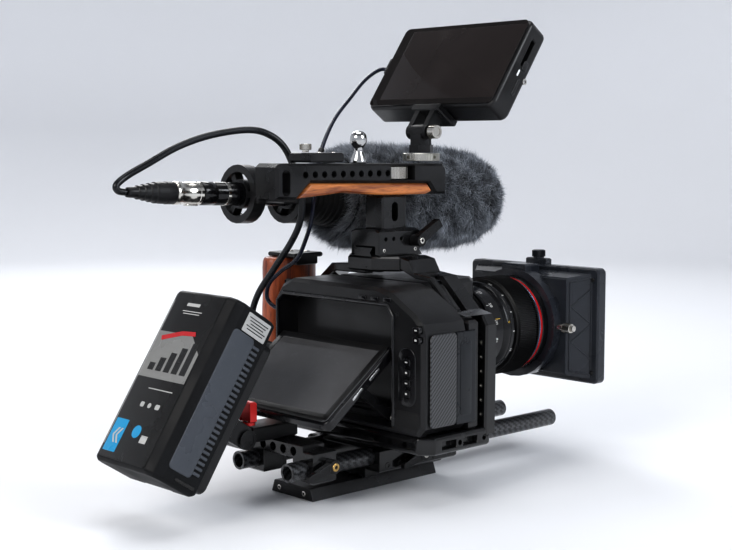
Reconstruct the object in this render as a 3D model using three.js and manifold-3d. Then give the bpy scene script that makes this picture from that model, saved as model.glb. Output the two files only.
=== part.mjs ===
// A cine camera rig: a box-bodied camera in a metal cage, with its zoom lens and matte
// box, top handle, field monitor, shotgun microphone, side grip, carbon rods and a battery behind.
//
// Millimetres. The lens looks along -Y, +Z is up, and +X is the operator's left. The origin is the
// centre of the tripod plate's bottom face.
import * as THREE from "three";
import { mergeVertices } from "three/addons/utils/BufferGeometryUtils.js";
import Module from "manifold-3d";

const wasm = await Module();
wasm.setup();

// ---- Driving dimensions -------------------------------------------------------------------------

const GAP = 0.3; // clearance between neighbouring pieces

// Support: lightweight 15 mm rods on 60 mm centres
const ROD_RADIUS = 7.5;
const ROD_HALF_SPACING = 30;
const ROD_Z = 29;
const ROD_FRONT = -216;
const ROD_BACK = 100;
const TRIPOD_PLATE_TOP = 10;
const BASEPLATE_TOP = 41.7;
const CAGE_FLOOR_TOP = 56.7;

// Camera body
const BODY_LEFT = 68;
const BODY_RIGHT = -107;
const BODY_BACK = 30;
const BODY_SPLIT = -20;
const BODY_FLANGE = -97;
const BODY_BOTTOM = 57;
const BODY_TOP = 169;
const WALL = 3;

// Folding screen: the arm is half as long as the screen is high, so the screen's top edge runs
// straight down the bay while its bottom edge runs straight out.
const SCREEN_HEIGHT = 87;
const SCREEN_WIDTH = 131;
const SCREEN_CENTRE_X = -4.5;
const SCREEN_OPEN = THREE.MathUtils.degToRad(53.2);
const SCREEN_FACE = 8; // front of the glass to the hinge line
const ARM_LENGTH = SCREEN_HEIGHT / 2;
const ARM_PIVOT_Y = 22;
const ARM_PIVOT_Z = 66.5;

// Lens
const LENS_Z = 116;
const LENS_LENGTH = 116;

// Top handle
const HANDLE_HALF_WIDTH = 14;
const HANDLE_TOP = 265;

// Monitor
const MONITOR_X = 6;
const MONITOR_PAN_Y = -76;
const MONITOR_TILT_Y = -75;
const MONITOR_TILT_Z = 290;
const MONITOR_TILT = THREE.MathUtils.degToRad(35.2);
const MONITOR_WIDTH = 149;
const MONITOR_HEIGHT = 90;
const MONITOR_DEPTH = 25;

// Microphone
const MIC_X = 65;
const MIC_Z = 236.5;
const MIC_PITCH = THREE.MathUtils.degToRad(2.2);

// Battery behind the rods, leaning towards the camera
const BATTERY_X = 8;
const BATTERY_TILT = THREE.MathUtils.degToRad(33.1);
const BATTERY_PIVOT_Y = 116;
const BATTERY_PIVOT_Z = 53;
const BATTERY_WIDTH = 80;

// ---- Shapes -------------------------------------------------------------------------------------

// Axes that turn an extrusion along local +Z into one along a world axis. Outlines are then drawn
// as [y, z] for "x", [x, z] for "y" and [x, y] for "z".
const EXTRUDE_TO = {
  x: new THREE.Matrix4().set(0, 0, 1, 0, 1, 0, 0, 0, 0, 1, 0, 0, 0, 0, 0, 1),
  y: new THREE.Matrix4().set(1, 0, 0, 0, 0, 0, -1, 0, 0, 1, 0, 0, 0, 0, 0, 1),
  z: new THREE.Matrix4(),
};

// An outline extruded along an axis between two places, with a chamfer round both ends.
function plate(axis, outline, from, to, chamfer = 0, curveSegments = 3) {
  const shape =
    outline instanceof THREE.Shape
      ? outline
      : new THREE.Shape(outline.map(([u, v]) => new THREE.Vector2(u, v)));
  const geometry = new THREE.ExtrudeGeometry(shape, {
    depth: to - from - 2 * chamfer,
    curveSegments,
    bevelEnabled: chamfer > 0,
    bevelThickness: chamfer,
    bevelSize: chamfer,
    bevelOffset: -chamfer,
    bevelSegments: 1,
  });
  geometry.translate(0, 0, (axis === "y" ? -to : from) + chamfer);
  return geometry.applyMatrix4(EXTRUDE_TO[axis]);
}

// A rectangle with round corners, centred on (u, v).
function roundRect(u, v, width, height, radius) {
  const a = width / 2 - radius;
  const b = height / 2 - radius;
  const shape = new THREE.Shape();
  shape.absarc(u + a, v + b, radius, 0, Math.PI / 2);
  shape.absarc(u - a, v + b, radius, Math.PI / 2, Math.PI);
  shape.absarc(u - a, v - b, radius, Math.PI, 1.5 * Math.PI);
  shape.absarc(u + a, v - b, radius, 1.5 * Math.PI, 2 * Math.PI);
  return shape;
}

function block([x0, x1], [y0, y1], [z0, z1], chamfer = 0) {
  const outline = [
    [x0, y0],
    [x1, y0],
    [x1, y1],
    [x0, y1],
  ];
  return plate("z", outline, z0, z1, chamfer);
}

// A cylinder along an axis: centre holds the two other coordinates, in X, Y, Z order.
function disc(axis, radius, centre, from, to, sides = 20) {
  const circle = new THREE.Shape();
  for (let i = 0; i < sides; i++) {
    const turn = (2 * Math.PI * i) / sides;
    const u = centre[0] + radius * Math.cos(turn);
    const v = centre[1] + radius * Math.sin(turn);
    if (i) circle.lineTo(u, v);
    else circle.moveTo(u, v);
  }
  return plate(axis, circle, from, to);
}

// A turned piece about local Y, from a closed profile of [radius, y] points.
function turned(profile, sides = 32) {
  const points = profile.map(([r, y]) => new THREE.Vector2(r, y));
  if (points[0].x > 0) points.push(points[0].clone());
  return new THREE.LatheGeometry(points, sides);
}

// A tube with eight sides along a smooth curve through points.
function cable(points, diameter, steps) {
  const corners = Array.from({ length: 8 }, (_, i) => {
    const turn = (i * Math.PI) / 4;
    return new THREE.Vector2(Math.cos(turn), Math.sin(turn)).multiplyScalar(diameter / 2);
  });
  const path = new THREE.CatmullRomCurve3(points.map((p) => new THREE.Vector3(...p)));
  return new THREE.ExtrudeGeometry(new THREE.Shape(corners), {
    steps,
    extrudePath: path,
    bevelEnabled: false,
  });
}

// A geometry as a manifold-3d solid; a profile drawn the other way round is turned facing out.
function solid(geometry) {
  const bare = geometry.clone();
  bare.deleteAttribute("normal");
  bare.deleteAttribute("uv");
  const merged = mergeVertices(bare, 1e-3);
  const build = (triVerts) =>
    new wasm.Manifold(
      new wasm.Mesh({ numProp: 3, vertProperties: merged.attributes.position.array, triVerts }),
    );
  const triVerts = new Uint32Array(merged.index.array);
  const made = build(triVerts);
  return made.volume() < 0 ? build(triVerts.reverse()) : made;
}

function geometryOf(manifold) {
  const mesh = manifold.getMesh();
  const geometry = new THREE.BufferGeometry();
  geometry.setAttribute("position", new THREE.BufferAttribute(mesh.vertProperties, 3));
  geometry.setIndex(new THREE.BufferAttribute(mesh.triVerts, 1));
  return geometry;
}

function join(...pieces) {
  return geometryOf(pieces.map(solid).reduce((sum, piece) => sum.add(piece)));
}

function cut(base, ...tools) {
  return geometryOf(tools.map(solid).reduce((left, tool) => left.subtract(tool), solid(base)));
}

// ---- Finishes -----------------------------------------------------------------------------------

const MATT_BLACK = { color: 0x1b1b1d, roughness: 0.6, metalness: 0.1 };
const ANODISED = { color: 0x0d0d0e, roughness: 0.28, metalness: 0.7 };
const SATIN_ALLOY = { color: 0x26272a, roughness: 0.45, metalness: 0.6 };
const RUBBER = { color: 0x141415, roughness: 0.85, metalness: 0 };
const CARBON = { color: 0x202124, roughness: 0.35, metalness: 0.2 };
const STEEL = { color: 0xb8b5ad, roughness: 0.3, metalness: 1 };
const RED = { color: 0xc01722, roughness: 0.3, metalness: 0.6 };
const WOOD = { color: 0xb4662c, roughness: 0.5, metalness: 0 };
const DARK_WOOD = { color: 0x8a3d1c, roughness: 0.45, metalness: 0 };
const GLASS = { color: 0x101216, roughness: 0.05, metalness: 0 };
const FUR = { color: 0x3a3d42, roughness: 1, metalness: 0 };
const BOARD = { color: 0x1d4a30, roughness: 0.6, metalness: 0 };
const SLATE = { color: 0x262a30, roughness: 0.5, metalness: 0.1 };

function group(parent, x, y, z) {
  const made = new THREE.Group();
  made.position.set(x, y, z);
  parent.add(made);
  return made;
}

function piece(parent, name, geometry, finish) {
  const closed = geometryOf(solid(geometry));
  const mesh = new THREE.Mesh(closed, new THREE.MeshStandardMaterial(finish));
  mesh.name = name;
  parent.add(mesh);
}

const rig = new THREE.Group();

// ---- Tripod plate, rods and their clamps ----------------------------------------------------------

const rodHole = (x, y0, y1) => disc("y", ROD_RADIUS + GAP, [x, ROD_Z], y0, y1, 20);

function buildSupport() {
  const plateOutline = [
    [-25.5, 0],
    [25.5, 0],
    [22, TRIPOD_PLATE_TOP],
    [-22, TRIPOD_PLATE_TOP],
  ];
  piece(rig, "tripod_plate", plate("y", plateOutline, -70, 70), SATIN_ALLOY);

  const riser = join(
    block([-44, 44], [-75, 15], [17, 36], 1.5),
    block([-27, 27], [-75, 15], [TRIPOD_PLATE_TOP + GAP, 20], 1),
    block([-36, 36], [-62, 8], [33, BASEPLATE_TOP], 1),
  );
  piece(
    rig,
    "baseplate",
    cut(riser, ...[-1, 1].map((side) => rodHole(side * ROD_HALF_SPACING, -80, 20))),
    ANODISED,
  );

  const bores = [-1, 1].map((side) => rodHole(side * ROD_HALF_SPACING, 50, 90));
  const lightening = [-18.6, -6.2, 6.2, 18.6].map((x) => disc("y", 3.6, [x, 42], 50, 90, 12));
  const clamp = join(
    block([-42, -18], [60, 84], [18.5, 44], 1.5),
    block([18, 42], [60, 84], [18.5, 44], 1.5),
    block([-30, 30], [62, 84], [36.5, 48], 1),
  );
  piece(rig, "rear_rod_clamp", cut(clamp, ...bores, ...lightening), ANODISED);

  for (const [side, name] of [
    [-1, "rod_right"],
    [1, "rod_left"],
  ]) {
    const x = side * ROD_HALF_SPACING;
    const bar = disc("y", ROD_RADIUS, [x, ROD_Z], ROD_FRONT, ROD_BACK, 24);
    const ends = [
      disc("y", 5.5, [x, ROD_Z], ROD_FRONT - 1, ROD_FRONT + 10, 16),
      disc("y", 5.5, [x, ROD_Z], ROD_BACK - 10, ROD_BACK + 1, 16),
    ];
    piece(rig, name, cut(bar, ...ends), CARBON);
  }

  // Clamping levers on the right-hand side: a boss on the screw and an arm that lies back.
  const lever = (x1, y, z, reach) =>
    join(
      disc("x", 5.5, [y, z], x1 - 8, x1, 16),
      plate(
        "x",
        [
          [y - 3, z - 4],
          [y + reach, z - 9],
          [y + reach, z - 4],
          [y + 3, z + 4],
        ],
        x1 - 7,
        x1 - 2.5,
      ),
    );
  piece(rig, "rear_clamp_lever", lever(-42 - GAP, 68, 32, 26), SATIN_ALLOY);
  piece(rig, "baseplate_lever", lever(-44 - GAP, -30, 27, 24), SATIN_ALLOY);
}
buildSupport();

// ---- Cage -----------------------------------------------------------------------------------------

const CAGE_FRONT = -53;
const CAGE_LEG_BACK = -40;

function buildCage() {
  const floorOutline = [
    [80, 27],
    [80, -46],
    [74, -53],
    [-100, -53],
    [-108, -44],
    [-108, 18],
    [-98, 27],
  ];
  const floor = plate("z", floorOutline, 42, CAGE_FLOOR_TOP, 2);
  const slots = [-22, 2].map((y) => block([-112, -102], [y - 8, y + 8], [46, 52]));
  const mortice = block([-113, -93], [CAGE_FRONT - 5, CAGE_LEG_BACK], [50, 60]);
  piece(rig, "cage_bottom_plate", cut(floor, ...slots, mortice), ANODISED);

  // Right-hand frame: a leg in front of the grip that climbs over the shoulder to the top plate.
  const outside = [
    [-107, 50 + GAP],
    [-108, 138],
    [-103, 146],
    [-90, 149],
    [-78, 161],
    [-64, 174],
    [-46, 176],
    [-40, 186],
    [-30, 188],
    [-30, 178],
    [-47, 171.5],
    [-61, 170.5],
    [-76, 156],
    [-88, 144],
    [-95, 138],
    [-95, 50 + GAP],
  ];
  const leg = plate("y", outside, CAGE_FRONT, CAGE_LEG_BACK - GAP, 1.5);
  const shoulder = plate("y", outside.slice(2, 14), CAGE_LEG_BACK - 4, -21, 0.8);
  // Two windows through the sloping shoulder.
  const slope = THREE.MathUtils.degToRad(43);
  const windows = [0, 1].map((i) =>
    block([-5, 5], [-5, 5], [-15, 15]).rotateY(slope).translate(-69 - 12 * i, -31, 163.5 - 11 * i),
  );
  const screwHoles = [0, 1, 2, 3, 4, 5].map((i) =>
    disc("y", 2.6, [-101.5, 66 + i * 11.5], -60, -30, 10),
  );
  piece(rig, "cage_right_frame", cut(join(leg, shoulder), ...windows, ...screwHoles), ANODISED);

  // Top plate with its NATO rail, and the left-hand side that comes down to the floor.
  const topOutline = [
    [30, -46],
    [22, -54],
    [-30 + GAP, -54],
    [-30 + GAP, -21],
    [-12, -6],
    [16, -6],
    [30, -20],
  ];
  const roof = plate("z", topOutline, 176, 188, 1.5);
  const bridgeOutline = [
    [20, 170.5],
    [58, 170.5],
    [76, 160],
    [80, 164],
    [64, 177],
    [20, 180],
  ];
  const bridge = plate("y", bridgeOutline, -52, -30, 1);
  const side = block([71, 79], [-48, 10], [CAGE_FLOOR_TOP + GAP, 165], 1.5);
  const rail = plate(
    "y",
    [
      [-11, 187],
      [11, 187],
      [8, 191],
      [11, 195],
      [-11, 195],
      [-8, 191],
    ],
    -66,
    -8,
  );
  const roofSlots = [-18, -1, 16].map((x) => block([x, x + 10], [-46, -38], [170, 186.5]));
  const ports = block([65, 85], [-34, -2], [76, 150]);
  piece(rig, "cage_left_frame", cut(join(roof, bridge, side, rail), ...roofSlots, ports), ANODISED);
}
buildCage();

// ---- Camera body ------------------------------------------------------------------------------------

// Rear push buttons: name, x, z
const REAR_BUTTONS = [
  ["side_button_1", -91, 114.6],
  ["side_button_2", -91, 106.5],
  ["side_button_3", -91, 98.4],
  ["side_button_4", -91, 90.3],
  ["thumb_button_upper", -101, 140],
  ["thumb_button_lower", -101, 132.4],
];
const RECORD_BUTTON = [-66, -33];

function buildBody() {
  // Seen from behind: a flat base, a high deck over the screen and a lower shoulder above the grip.
  const across = [
    [BODY_LEFT, 63],
    [62, BODY_BOTTOM],
    [-100, BODY_BOTTOM],
    [BODY_RIGHT, 64],
    [BODY_RIGHT, 134],
    [-104, 144],
    [-96, 151],
    [-84, 158],
    [-72, 165],
    [-58, BODY_TOP],
    [46, BODY_TOP],
    [60, 163],
    [BODY_LEFT, 152],
  ];
  const bayOutline = [
    [63, 61],
    [-73, 61],
    [-73, 149],
    [-67, 155],
    [57, 155],
    [63, 149],
  ];
  const bayFloor = 9;
  const cardRecess = block([BODY_RIGHT - 1, BODY_RIGHT + 2], [-27.5, -5.5], [63, 136]);
  const rear = cut(
    plate("y", across, BODY_SPLIT, BODY_BACK, 3),
    plate("y", bayOutline, bayFloor, BODY_BACK + 5),
    block([-68, BODY_LEFT - WALL], [BODY_SPLIT - 1, bayFloor - WALL], [61, 150]),
    block([-56, 42], [BODY_SPLIT - 1, 22], [158, BODY_TOP - WALL]),
    block([-102, -77], [-16.5, 20], [BODY_BOTTOM - 1, 138]),
    cardRecess,
    ...REAR_BUTTONS.map(([, x, z]) => plate("y", roundRect(x, z, 8.8, 6.2, 2.4), BODY_BACK - 2, 40)),
  );
  piece(rig, "body_rear_shell", rear, MATT_BLACK);

  // The front half narrows to the mount and carries the front of the grip.
  const front = join(
    plate(
      "z",
      [
        [BODY_LEFT, BODY_SPLIT - GAP],
        [BODY_LEFT, -84],
        [56, BODY_FLANGE + 3],
        [-50, BODY_FLANGE + 3],
        [-60, -86],
        [-63, -50],
        [-72, -39],
        [-98, -38],
        [-106, -32],
        [BODY_RIGHT, BODY_SPLIT - GAP],
      ],
      BODY_BOTTOM,
      143,
      2,
    ),
    plate(
      "z",
      [
        [46, BODY_SPLIT - GAP],
        [46, -82],
        [38, -92],
        [-46, -92],
        [-56, -80],
        [-56, BODY_SPLIT - GAP],
      ],
      140,
      BODY_TOP,
      3,
    ),
    disc("y", 33, [0, LENS_Z], BODY_FLANGE, -80, 32),
  );
  const throat = disc("y", 25, [0, LENS_Z], BODY_FLANGE - 5, -60, 28);
  const hollow = block([-52, 62], [-88, BODY_SPLIT + 1], [62, 137]);
  const upperHollow = block([-50, 42], [-84, BODY_SPLIT + 1], [136, 163]);
  const recordWell = disc("z", 4.4, RECORD_BUTTON, 141.5, 150, 16);
  piece(rig, "body_front_shell", cut(front, throat, hollow, upperHollow, cardRecess, recordWell), MATT_BLACK);

  piece(
    rig,
    "sensor_board",
    join(
      block([-34, 40], [-45, -42], [80, 133]),
      block([-22, 22], [-52, -44], [100, 132], 1),
    ),
    BOARD,
  );
  const blades = [0, 1, 2, 3, 4, 5].map((i) => {
    const blade = block([-1, 1], [-3, 3], [3, 17]);
    return blade.rotateY((i * Math.PI) / 3).translate(12, -10, 108);
  });
  piece(rig, "fan_rotor", join(disc("y", 6, [12, 108], -14, -6, 14), ...blades), MATT_BLACK);
  piece(rig, "internal_battery", block([-101, -78], [-16, 19], [58, 132], 1.5), SLATE);

  piece(
    rig,
    "grip_pad",
    plate("x", roundRect(9.5, 100, 29, 72, 4), BODY_RIGHT - 2.2, BODY_RIGHT - GAP, 0.6, 2),
    RUBBER,
  );
  piece(
    rig,
    "card_door",
    block([BODY_RIGHT - 1.2, BODY_RIGHT + 1.6], [-27.2, -6], [63.4, 135.6], 0.5),
    SLATE,
  );

  // Push buttons in wells behind the thumb, and the record button on the front shoulder.
  for (const [name, x, z] of REAR_BUTTONS) {
    const cap = plate("y", roundRect(x, z, 8, 5.4, 2), BODY_BACK - 0.8, BODY_BACK + 2.6, 0.4, 1);
    piece(rig, name, cap, MATT_BLACK);
  }
  piece(rig, "record_button", disc("z", 4, RECORD_BUTTON, 142.7, 146, 16), RED);
}
buildBody();

// ---- Folding screen ---------------------------------------------------------------------------------

function buildScreen() {
  const arm = group(rig, SCREEN_CENTRE_X, ARM_PIVOT_Y, ARM_PIVOT_Z);
  arm.rotation.x = -SCREEN_OPEN;
  const half = SCREEN_WIDTH / 2 - 6;
  const strut = (x) =>
    join(
      block([x - 2, x + 2], [-4, 3], [0, ARM_LENGTH - 3], 0.6),
      disc("x", 3.6, [0, 0], x - 2, x + 2, 14),
      disc("x", 3.2, [0, ARM_LENGTH], x - 2, x + 2, 14),
      block([x - 1.6, x + 1.6], [-2.5, 2.5], [ARM_LENGTH - 6, ARM_LENGTH]),
    );
  piece(
    arm,
    "screen_arm",
    join(strut(-half), strut(half), block([-half, half], [-6, -2.5], [-1.5, 6], 0.5)),
    SATIN_ALLOY,
  );

  const screen = group(arm, 0, 0, ARM_LENGTH);
  screen.rotation.x = 2 * SCREEN_OPEN;
  const back = -2;
  const front = SCREEN_FACE - 1.3;
  const housing = plate(
    "y",
    roundRect(0, 0, SCREEN_WIDTH, SCREEN_HEIGHT, 5),
    back,
    front,
    1.2,
  );
  const armSlots = [-half, half].map((x) => block([x - 3, x + 3], [back - 1, 4], [-46, 5]));
  piece(screen, "screen_housing", cut(housing, ...armSlots), MATT_BLACK);
  piece(
    screen,
    "screen_glass",
    plate("y", roundRect(0, 0, SCREEN_WIDTH - 4, SCREEN_HEIGHT - 4, 4), front + GAP, SCREEN_FACE),
    GLASS,
  );
}
buildScreen();

// ---- Lens and matte box -------------------------------------------------------------------------------

// Stations along the lens, measured forwards from the mount flange.
const ZOOM_RING = [8, 26];
const FOCUS_RING = [57, 88];
const RED_RING = 89.5;

function buildLens() {
  const lens = group(rig, 0, BODY_FLANGE, LENS_Z);
  lens.rotation.z = Math.PI; // local +Y runs forwards
  const barrel = turned([
    [22, -8],
    [24.5, -8],
    [24.5, GAP],
    [33.5, GAP],
    [34, 7.5],
    [33, 8],
    [33, 26.5],
    [38, 27],
    [38.5, 44],
    [41, 47],
    [41, 56],
    [39, 56.5],
    [39, 94],
    [35, 94],
    [35, 30],
    [30, 20],
    [22, 14],
  ], 40);
  piece(lens, "lens_barrel", barrel, MATT_BLACK);
  const ring = (inner, outer, [from, to], chamfer) =>
    turned([
      [inner, from],
      [outer - chamfer, from],
      [outer, from + chamfer],
      [outer, to - chamfer],
      [outer - chamfer, to],
      [inner, to],
    ]);
  piece(lens, "zoom_ring", ring(33.7, 37.8, ZOOM_RING, 0.8), RUBBER);

  // The focus ring's gear has fine teeth round it.
  const teeth = 60;
  const gear = new THREE.Shape();
  for (let i = 0; i < teeth; i++) {
    [
      [0, 43],
      [0.25, 44.6],
      [0.6, 44.6],
      [0.85, 43],
    ].forEach(([share, radius], corner) => {
      const turn = (2 * Math.PI * (i + share)) / teeth;
      const u = radius * Math.cos(turn);
      const v = radius * Math.sin(turn);
      if (i || corner) gear.lineTo(u, v);
      else gear.moveTo(u, v);
    });
  }
  const gearRing = cut(
    plate("y", gear, -FOCUS_RING[1], -FOCUS_RING[0]).rotateZ(Math.PI),
    disc("y", 39.3, [0, 0], -100, -40, 32).rotateZ(Math.PI),
  );
  piece(lens, "focus_ring", gearRing, RUBBER);

  // The red ring is the back edge of the front barrel, which sleeves over the main one.
  const frontBarrel = turned([
    [35.3, 94 + GAP],
    [39 + GAP, 94 + GAP],
    [39 + GAP, RED_RING],
    [42, RED_RING],
    [42.2, 94 + GAP],
    [43, 96],
    [43, 112],
    [42, LENS_LENGTH],
    [38.5, LENS_LENGTH],
    [38.5, 104],
    [35.3, 102],
  ]);
  piece(lens, "lens_front_barrel", frontBarrel, MATT_BLACK);
  piece(
    lens,
    "front_glass",
    turned([
      [0, 96],
      [34.5, 97],
      [34.5, 101],
      [24, 104.5],
      [12, 106.4],
      [0, 107],
    ]),
    GLASS,
  );
  piece(
    lens,
    "zoom_group",
    turned([
      [0, 38],
      [20, 40],
      [31, 42],
      [34.5, 42],
      [34.5, 62],
      [31, 62],
      [20, 58],
      [0, 56],
    ], 24),
    GLASS,
  );
}
buildLens();

const HOOD_BACK = -206; // behind this the clamp ring holds the lens front
const HOOD_FRONT = -237;

function buildMatteBox() {
  const box = group(rig, 0, 0, LENS_Z);
  const halfWidth = 76.5;
  const halfHeight = 52.3;
  const outline = (shrink) => roundRect(0, 0, 2 * (halfWidth - shrink), 2 * (halfHeight - shrink), 5);
  const taper = (back, front, y0, y1) => {
    // A square funnel between two rectangles.
    const shape = new THREE.BoxGeometry(2, y1 - y0, 2).translate(0, (y0 + y1) / 2, 0);
    const position = shape.attributes.position;
    for (let i = 0; i < position.count; i++) {
      const [w, h] = position.getY(i) < (y0 + y1) / 2 ? front : back;
      position.setX(i, position.getX(i) * w);
      position.setZ(i, position.getZ(i) * h);
    }
    return shape;
  };
  const lensFront = BODY_FLANGE - LENS_LENGTH - GAP;
  const hood = cut(
    join(
      plate("y", outline(0), HOOD_FRONT, HOOD_FRONT + 12, 1.5),
      taper([55, 44], [73, 49], HOOD_FRONT + 6, HOOD_BACK - 1),
      block([-55, 55], [-212, HOOD_BACK], [-44, 44], 1.5),
      disc("y", 50, [0, 0], -210, -196, 32),
      block([-14, 14], [-218, -198], [43, 54], 1.5),
      block([-12, 12], [-238, -230], [50, 57.5], 1),
      disc("z", 5, [0, -234], 57, 65, 16),
    ),
    taper([50, 40], [72, 47.5], HOOD_FRONT - 1, -217),
    disc("y", 38.5, [0, 0], -225, -190, 32),
    disc("y", 43 + GAP, [0, 0], lensFront, -190, 32),
  );
  piece(box, "matte_box", hood, MATT_BLACK);
  piece(
    box,
    "matte_box_screw",
    join(
      disc("x", 3, [-201, 0], -57.5, -50 - GAP, 12),
      disc("x", 4.4, [-201, 0], -66, -57, 16),
      disc("x", 2.8, [-201, 0], -68.5, -65.5, 12),
    ),
    STEEL,
  );
}
buildMatteBox();

// ---- Top handle ---------------------------------------------------------------------------------------

function buildHandle() {
  // Clamp on the NATO rail, and the post up to the handle.
  const clampOutline = [
    [-17, 188 + GAP],
    [-11 - GAP, 188 + GAP],
    [-11 - GAP, 195 + GAP],
    [11 + GAP, 195 + GAP],
    [11 + GAP, 188 + GAP],
    [17, 188 + GAP],
    [17, 208],
    [12, 210],
    [-12, 210],
    [-17, 208],
  ];
  const clamp = plate("y", clampOutline, -58, -10, 1);
  const post = plate("y", roundRect(0, 223, 22, 28, 2), -48, -20, 1.5);
  const clampHoles = [-18, -27, -36].map((y) => disc("x", 1.8, [y, 202], -20, -10, 10));
  const postSlot = plate("x", roundRect(-34, 224, 7, 16, 3.4), -15, 15);
  piece(rig, "nato_clamp", cut(join(clamp, post), ...clampHoles, postSlot), ANODISED);
  const leverOutline = [
    [-47, 204],
    [-53, 197],
    [-76, 211],
    [-72, 217],
  ];
  piece(
    rig,
    "nato_lever",
    join(
      disc("x", 5, [-50, 200], -27, -17 - GAP, 14),
      plate("x", leverOutline, -26, -20),
    ),
    SATIN_ALLOY,
  );

  // Handle beam: an open-sided bar with a strap loop at the back, sloping under the front.
  const beam = [
    [95, 238],
    [95, 262],
    [91, HANDLE_TOP],
    [-89, HANDLE_TOP - 2],
    [-93, 259],
    [-93, 237.5],
    [-80, 237.5],
    [-72, 247],
    [60.2, 250],
    [75, 237],
  ];
  const strapSlot = plate("x", roundRect(85.5, 250, 8, 20, 3.5), -20, 20);
  const holes = Array.from({ length: 10 }, (_, i) =>
    disc("x", 2.8, [65.9 - i * 9.86, 256], -20, 20, 10),
  );
  const wheelPocket = block([-15, 15], [-54.5, -26.5], [250, 262]);
  const rough = plate("x", beam, -HANDLE_HALF_WIDTH, HANDLE_HALF_WIDTH, 2);
  const stud = turned(
    [
      [0, 263],
      [6.5, 263],
      [6.2, 267.5],
      [3.6, 273],
      [3.4, 276.5],
      [5.6, 279],
      [6.8, 283.5],
      [5.6, 287.5],
      [3.2, 289.7],
      [0, 290.3],
    ],
    20,
  );
  stud.rotateX(Math.PI / 2).translate(0, -3, 0);
  const frame = join(cut(rough, strapSlot, ...holes, wheelPocket), stud);
  piece(rig, "handle_frame", frame, SATIN_ALLOY);
  piece(rig, "handle_wheel", disc("z", 13.4, [0, -40.5], 250.5, 261.5, 28), STEEL);
  piece(
    rig,
    "handle_wood",
    cut(
      plate(
        "x",
        [
          [58.8, 249.3],
          [-20, 247.8],
          [-71.5, 246.6],
          [-77, 240],
          [-70, 237.6],
          [-20, 238],
          [2, 239.5],
          [22, 241.5],
          [40, 240],
          [72.9, 237.6],
        ],
        -12.5,
        12.5,
        1.5,
      ),
      block([-11.4, 11.4], [-48.6, -19.4], [230, 237 + GAP]),
    ),
    WOOD,
  );

  // Quick-release plate behind, with its thumb screw.
  const quick = block([-13, 13], [24.6, 60.3], [HANDLE_TOP + GAP, 273], 1.2);
  piece(rig, "quick_plate", quick, SATIN_ALLOY);
  piece(
    rig,
    "quick_plate_screw",
    join(disc("z", 2.6, [0, 54], 273 + GAP, 276, 12), disc("z", 4.4, [0, 54], 275, 280, 18)),
    STEEL,
  );
}
buildHandle();

// ---- Field monitor --------------------------------------------------------------------------------------

function buildMonitor() {
  piece(
    rig,
    "lock_wheel",
    disc("z", 15.7, [0, MONITOR_PAN_Y], HANDLE_TOP + GAP, 272, 28),
    STEEL,
  );
  const pan = group(rig, 0, MONITOR_PAN_Y, 0);
  const base = join(
    disc("z", 10.5, [0, 0], 272 + GAP, 279, 6),
    disc("z", 7, [0, 0], 278, 283, 16),
    block([-6, 6], [-6, 7], [278, MONITOR_TILT_Z], 1),
    disc("x", 6.5, [1, MONITOR_TILT_Z], -6, 6, 16),
  );
  piece(pan, "swivel_base", base, SATIN_ALLOY);

  // The monitor sits forward of its tilt axis, on a bracket screwed under its case.
  const tilt = group(rig, MONITOR_X, MONITOR_TILT_Y, MONITOR_TILT_Z);
  tilt.rotation.x = MONITOR_TILT;
  const centre = -MONITOR_X;
  const offset = -9.5;
  const ear = (x) =>
    join(
      disc("x", 6.5, [0, 0], x - 2.5, x + 2.5, 16),
      block([x - 2.5, x + 2.5], [-6, 6], [0, 20], 0.5),
    );
  piece(
    tilt,
    "tilt_bracket",
    join(
      ear(centre - 8.8),
      ear(centre + 8.8),
      block([centre - 16, centre + 16], [offset - 9, 7], [18, 24.7], 1),
      disc("x", 4.6, [0, 0], centre - 19, centre - 11, 12),
    ),
    STEEL,
  );
  const bottom = 25;
  const middle = bottom + MONITOR_HEIGHT / 2;
  const backY = offset - MONITOR_DEPTH / 2;
  const frontY = offset + MONITOR_DEPTH / 2;
  const shell = plate(
    "y",
    roundRect(0, middle, MONITOR_WIDTH, MONITOR_HEIGHT, 7),
    backY,
    frontY - 1.6,
    2.2,
  );
  const rightEdge = -MONITOR_WIDTH / 2;
  const cardSlot = block(
    [rightEdge - 1, rightEdge + 12],
    [offset - 3, offset + 1],
    [middle + 4, middle + 30],
  );
  piece(tilt, "monitor_case", cut(shell, cardSlot), MATT_BLACK);
  piece(
    tilt,
    "monitor_glass",
    plate(
      "y",
      roundRect(0, middle, MONITOR_WIDTH - 4, MONITOR_HEIGHT - 4, 5),
      frontY - 1.6 + GAP,
      frontY,
    ),
    GLASS,
  );
  const leftEdge = MONITOR_WIDTH / 2;
  const plug = plate("x", roundRect(offset, middle + 8, 10, 18, 2), leftEdge + GAP, leftEdge + 11, 1, 1);
  piece(tilt, "hdmi_plug", plug, MATT_BLACK);
}
buildMonitor();

// ---- Microphone -------------------------------------------------------------------------------------------

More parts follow.
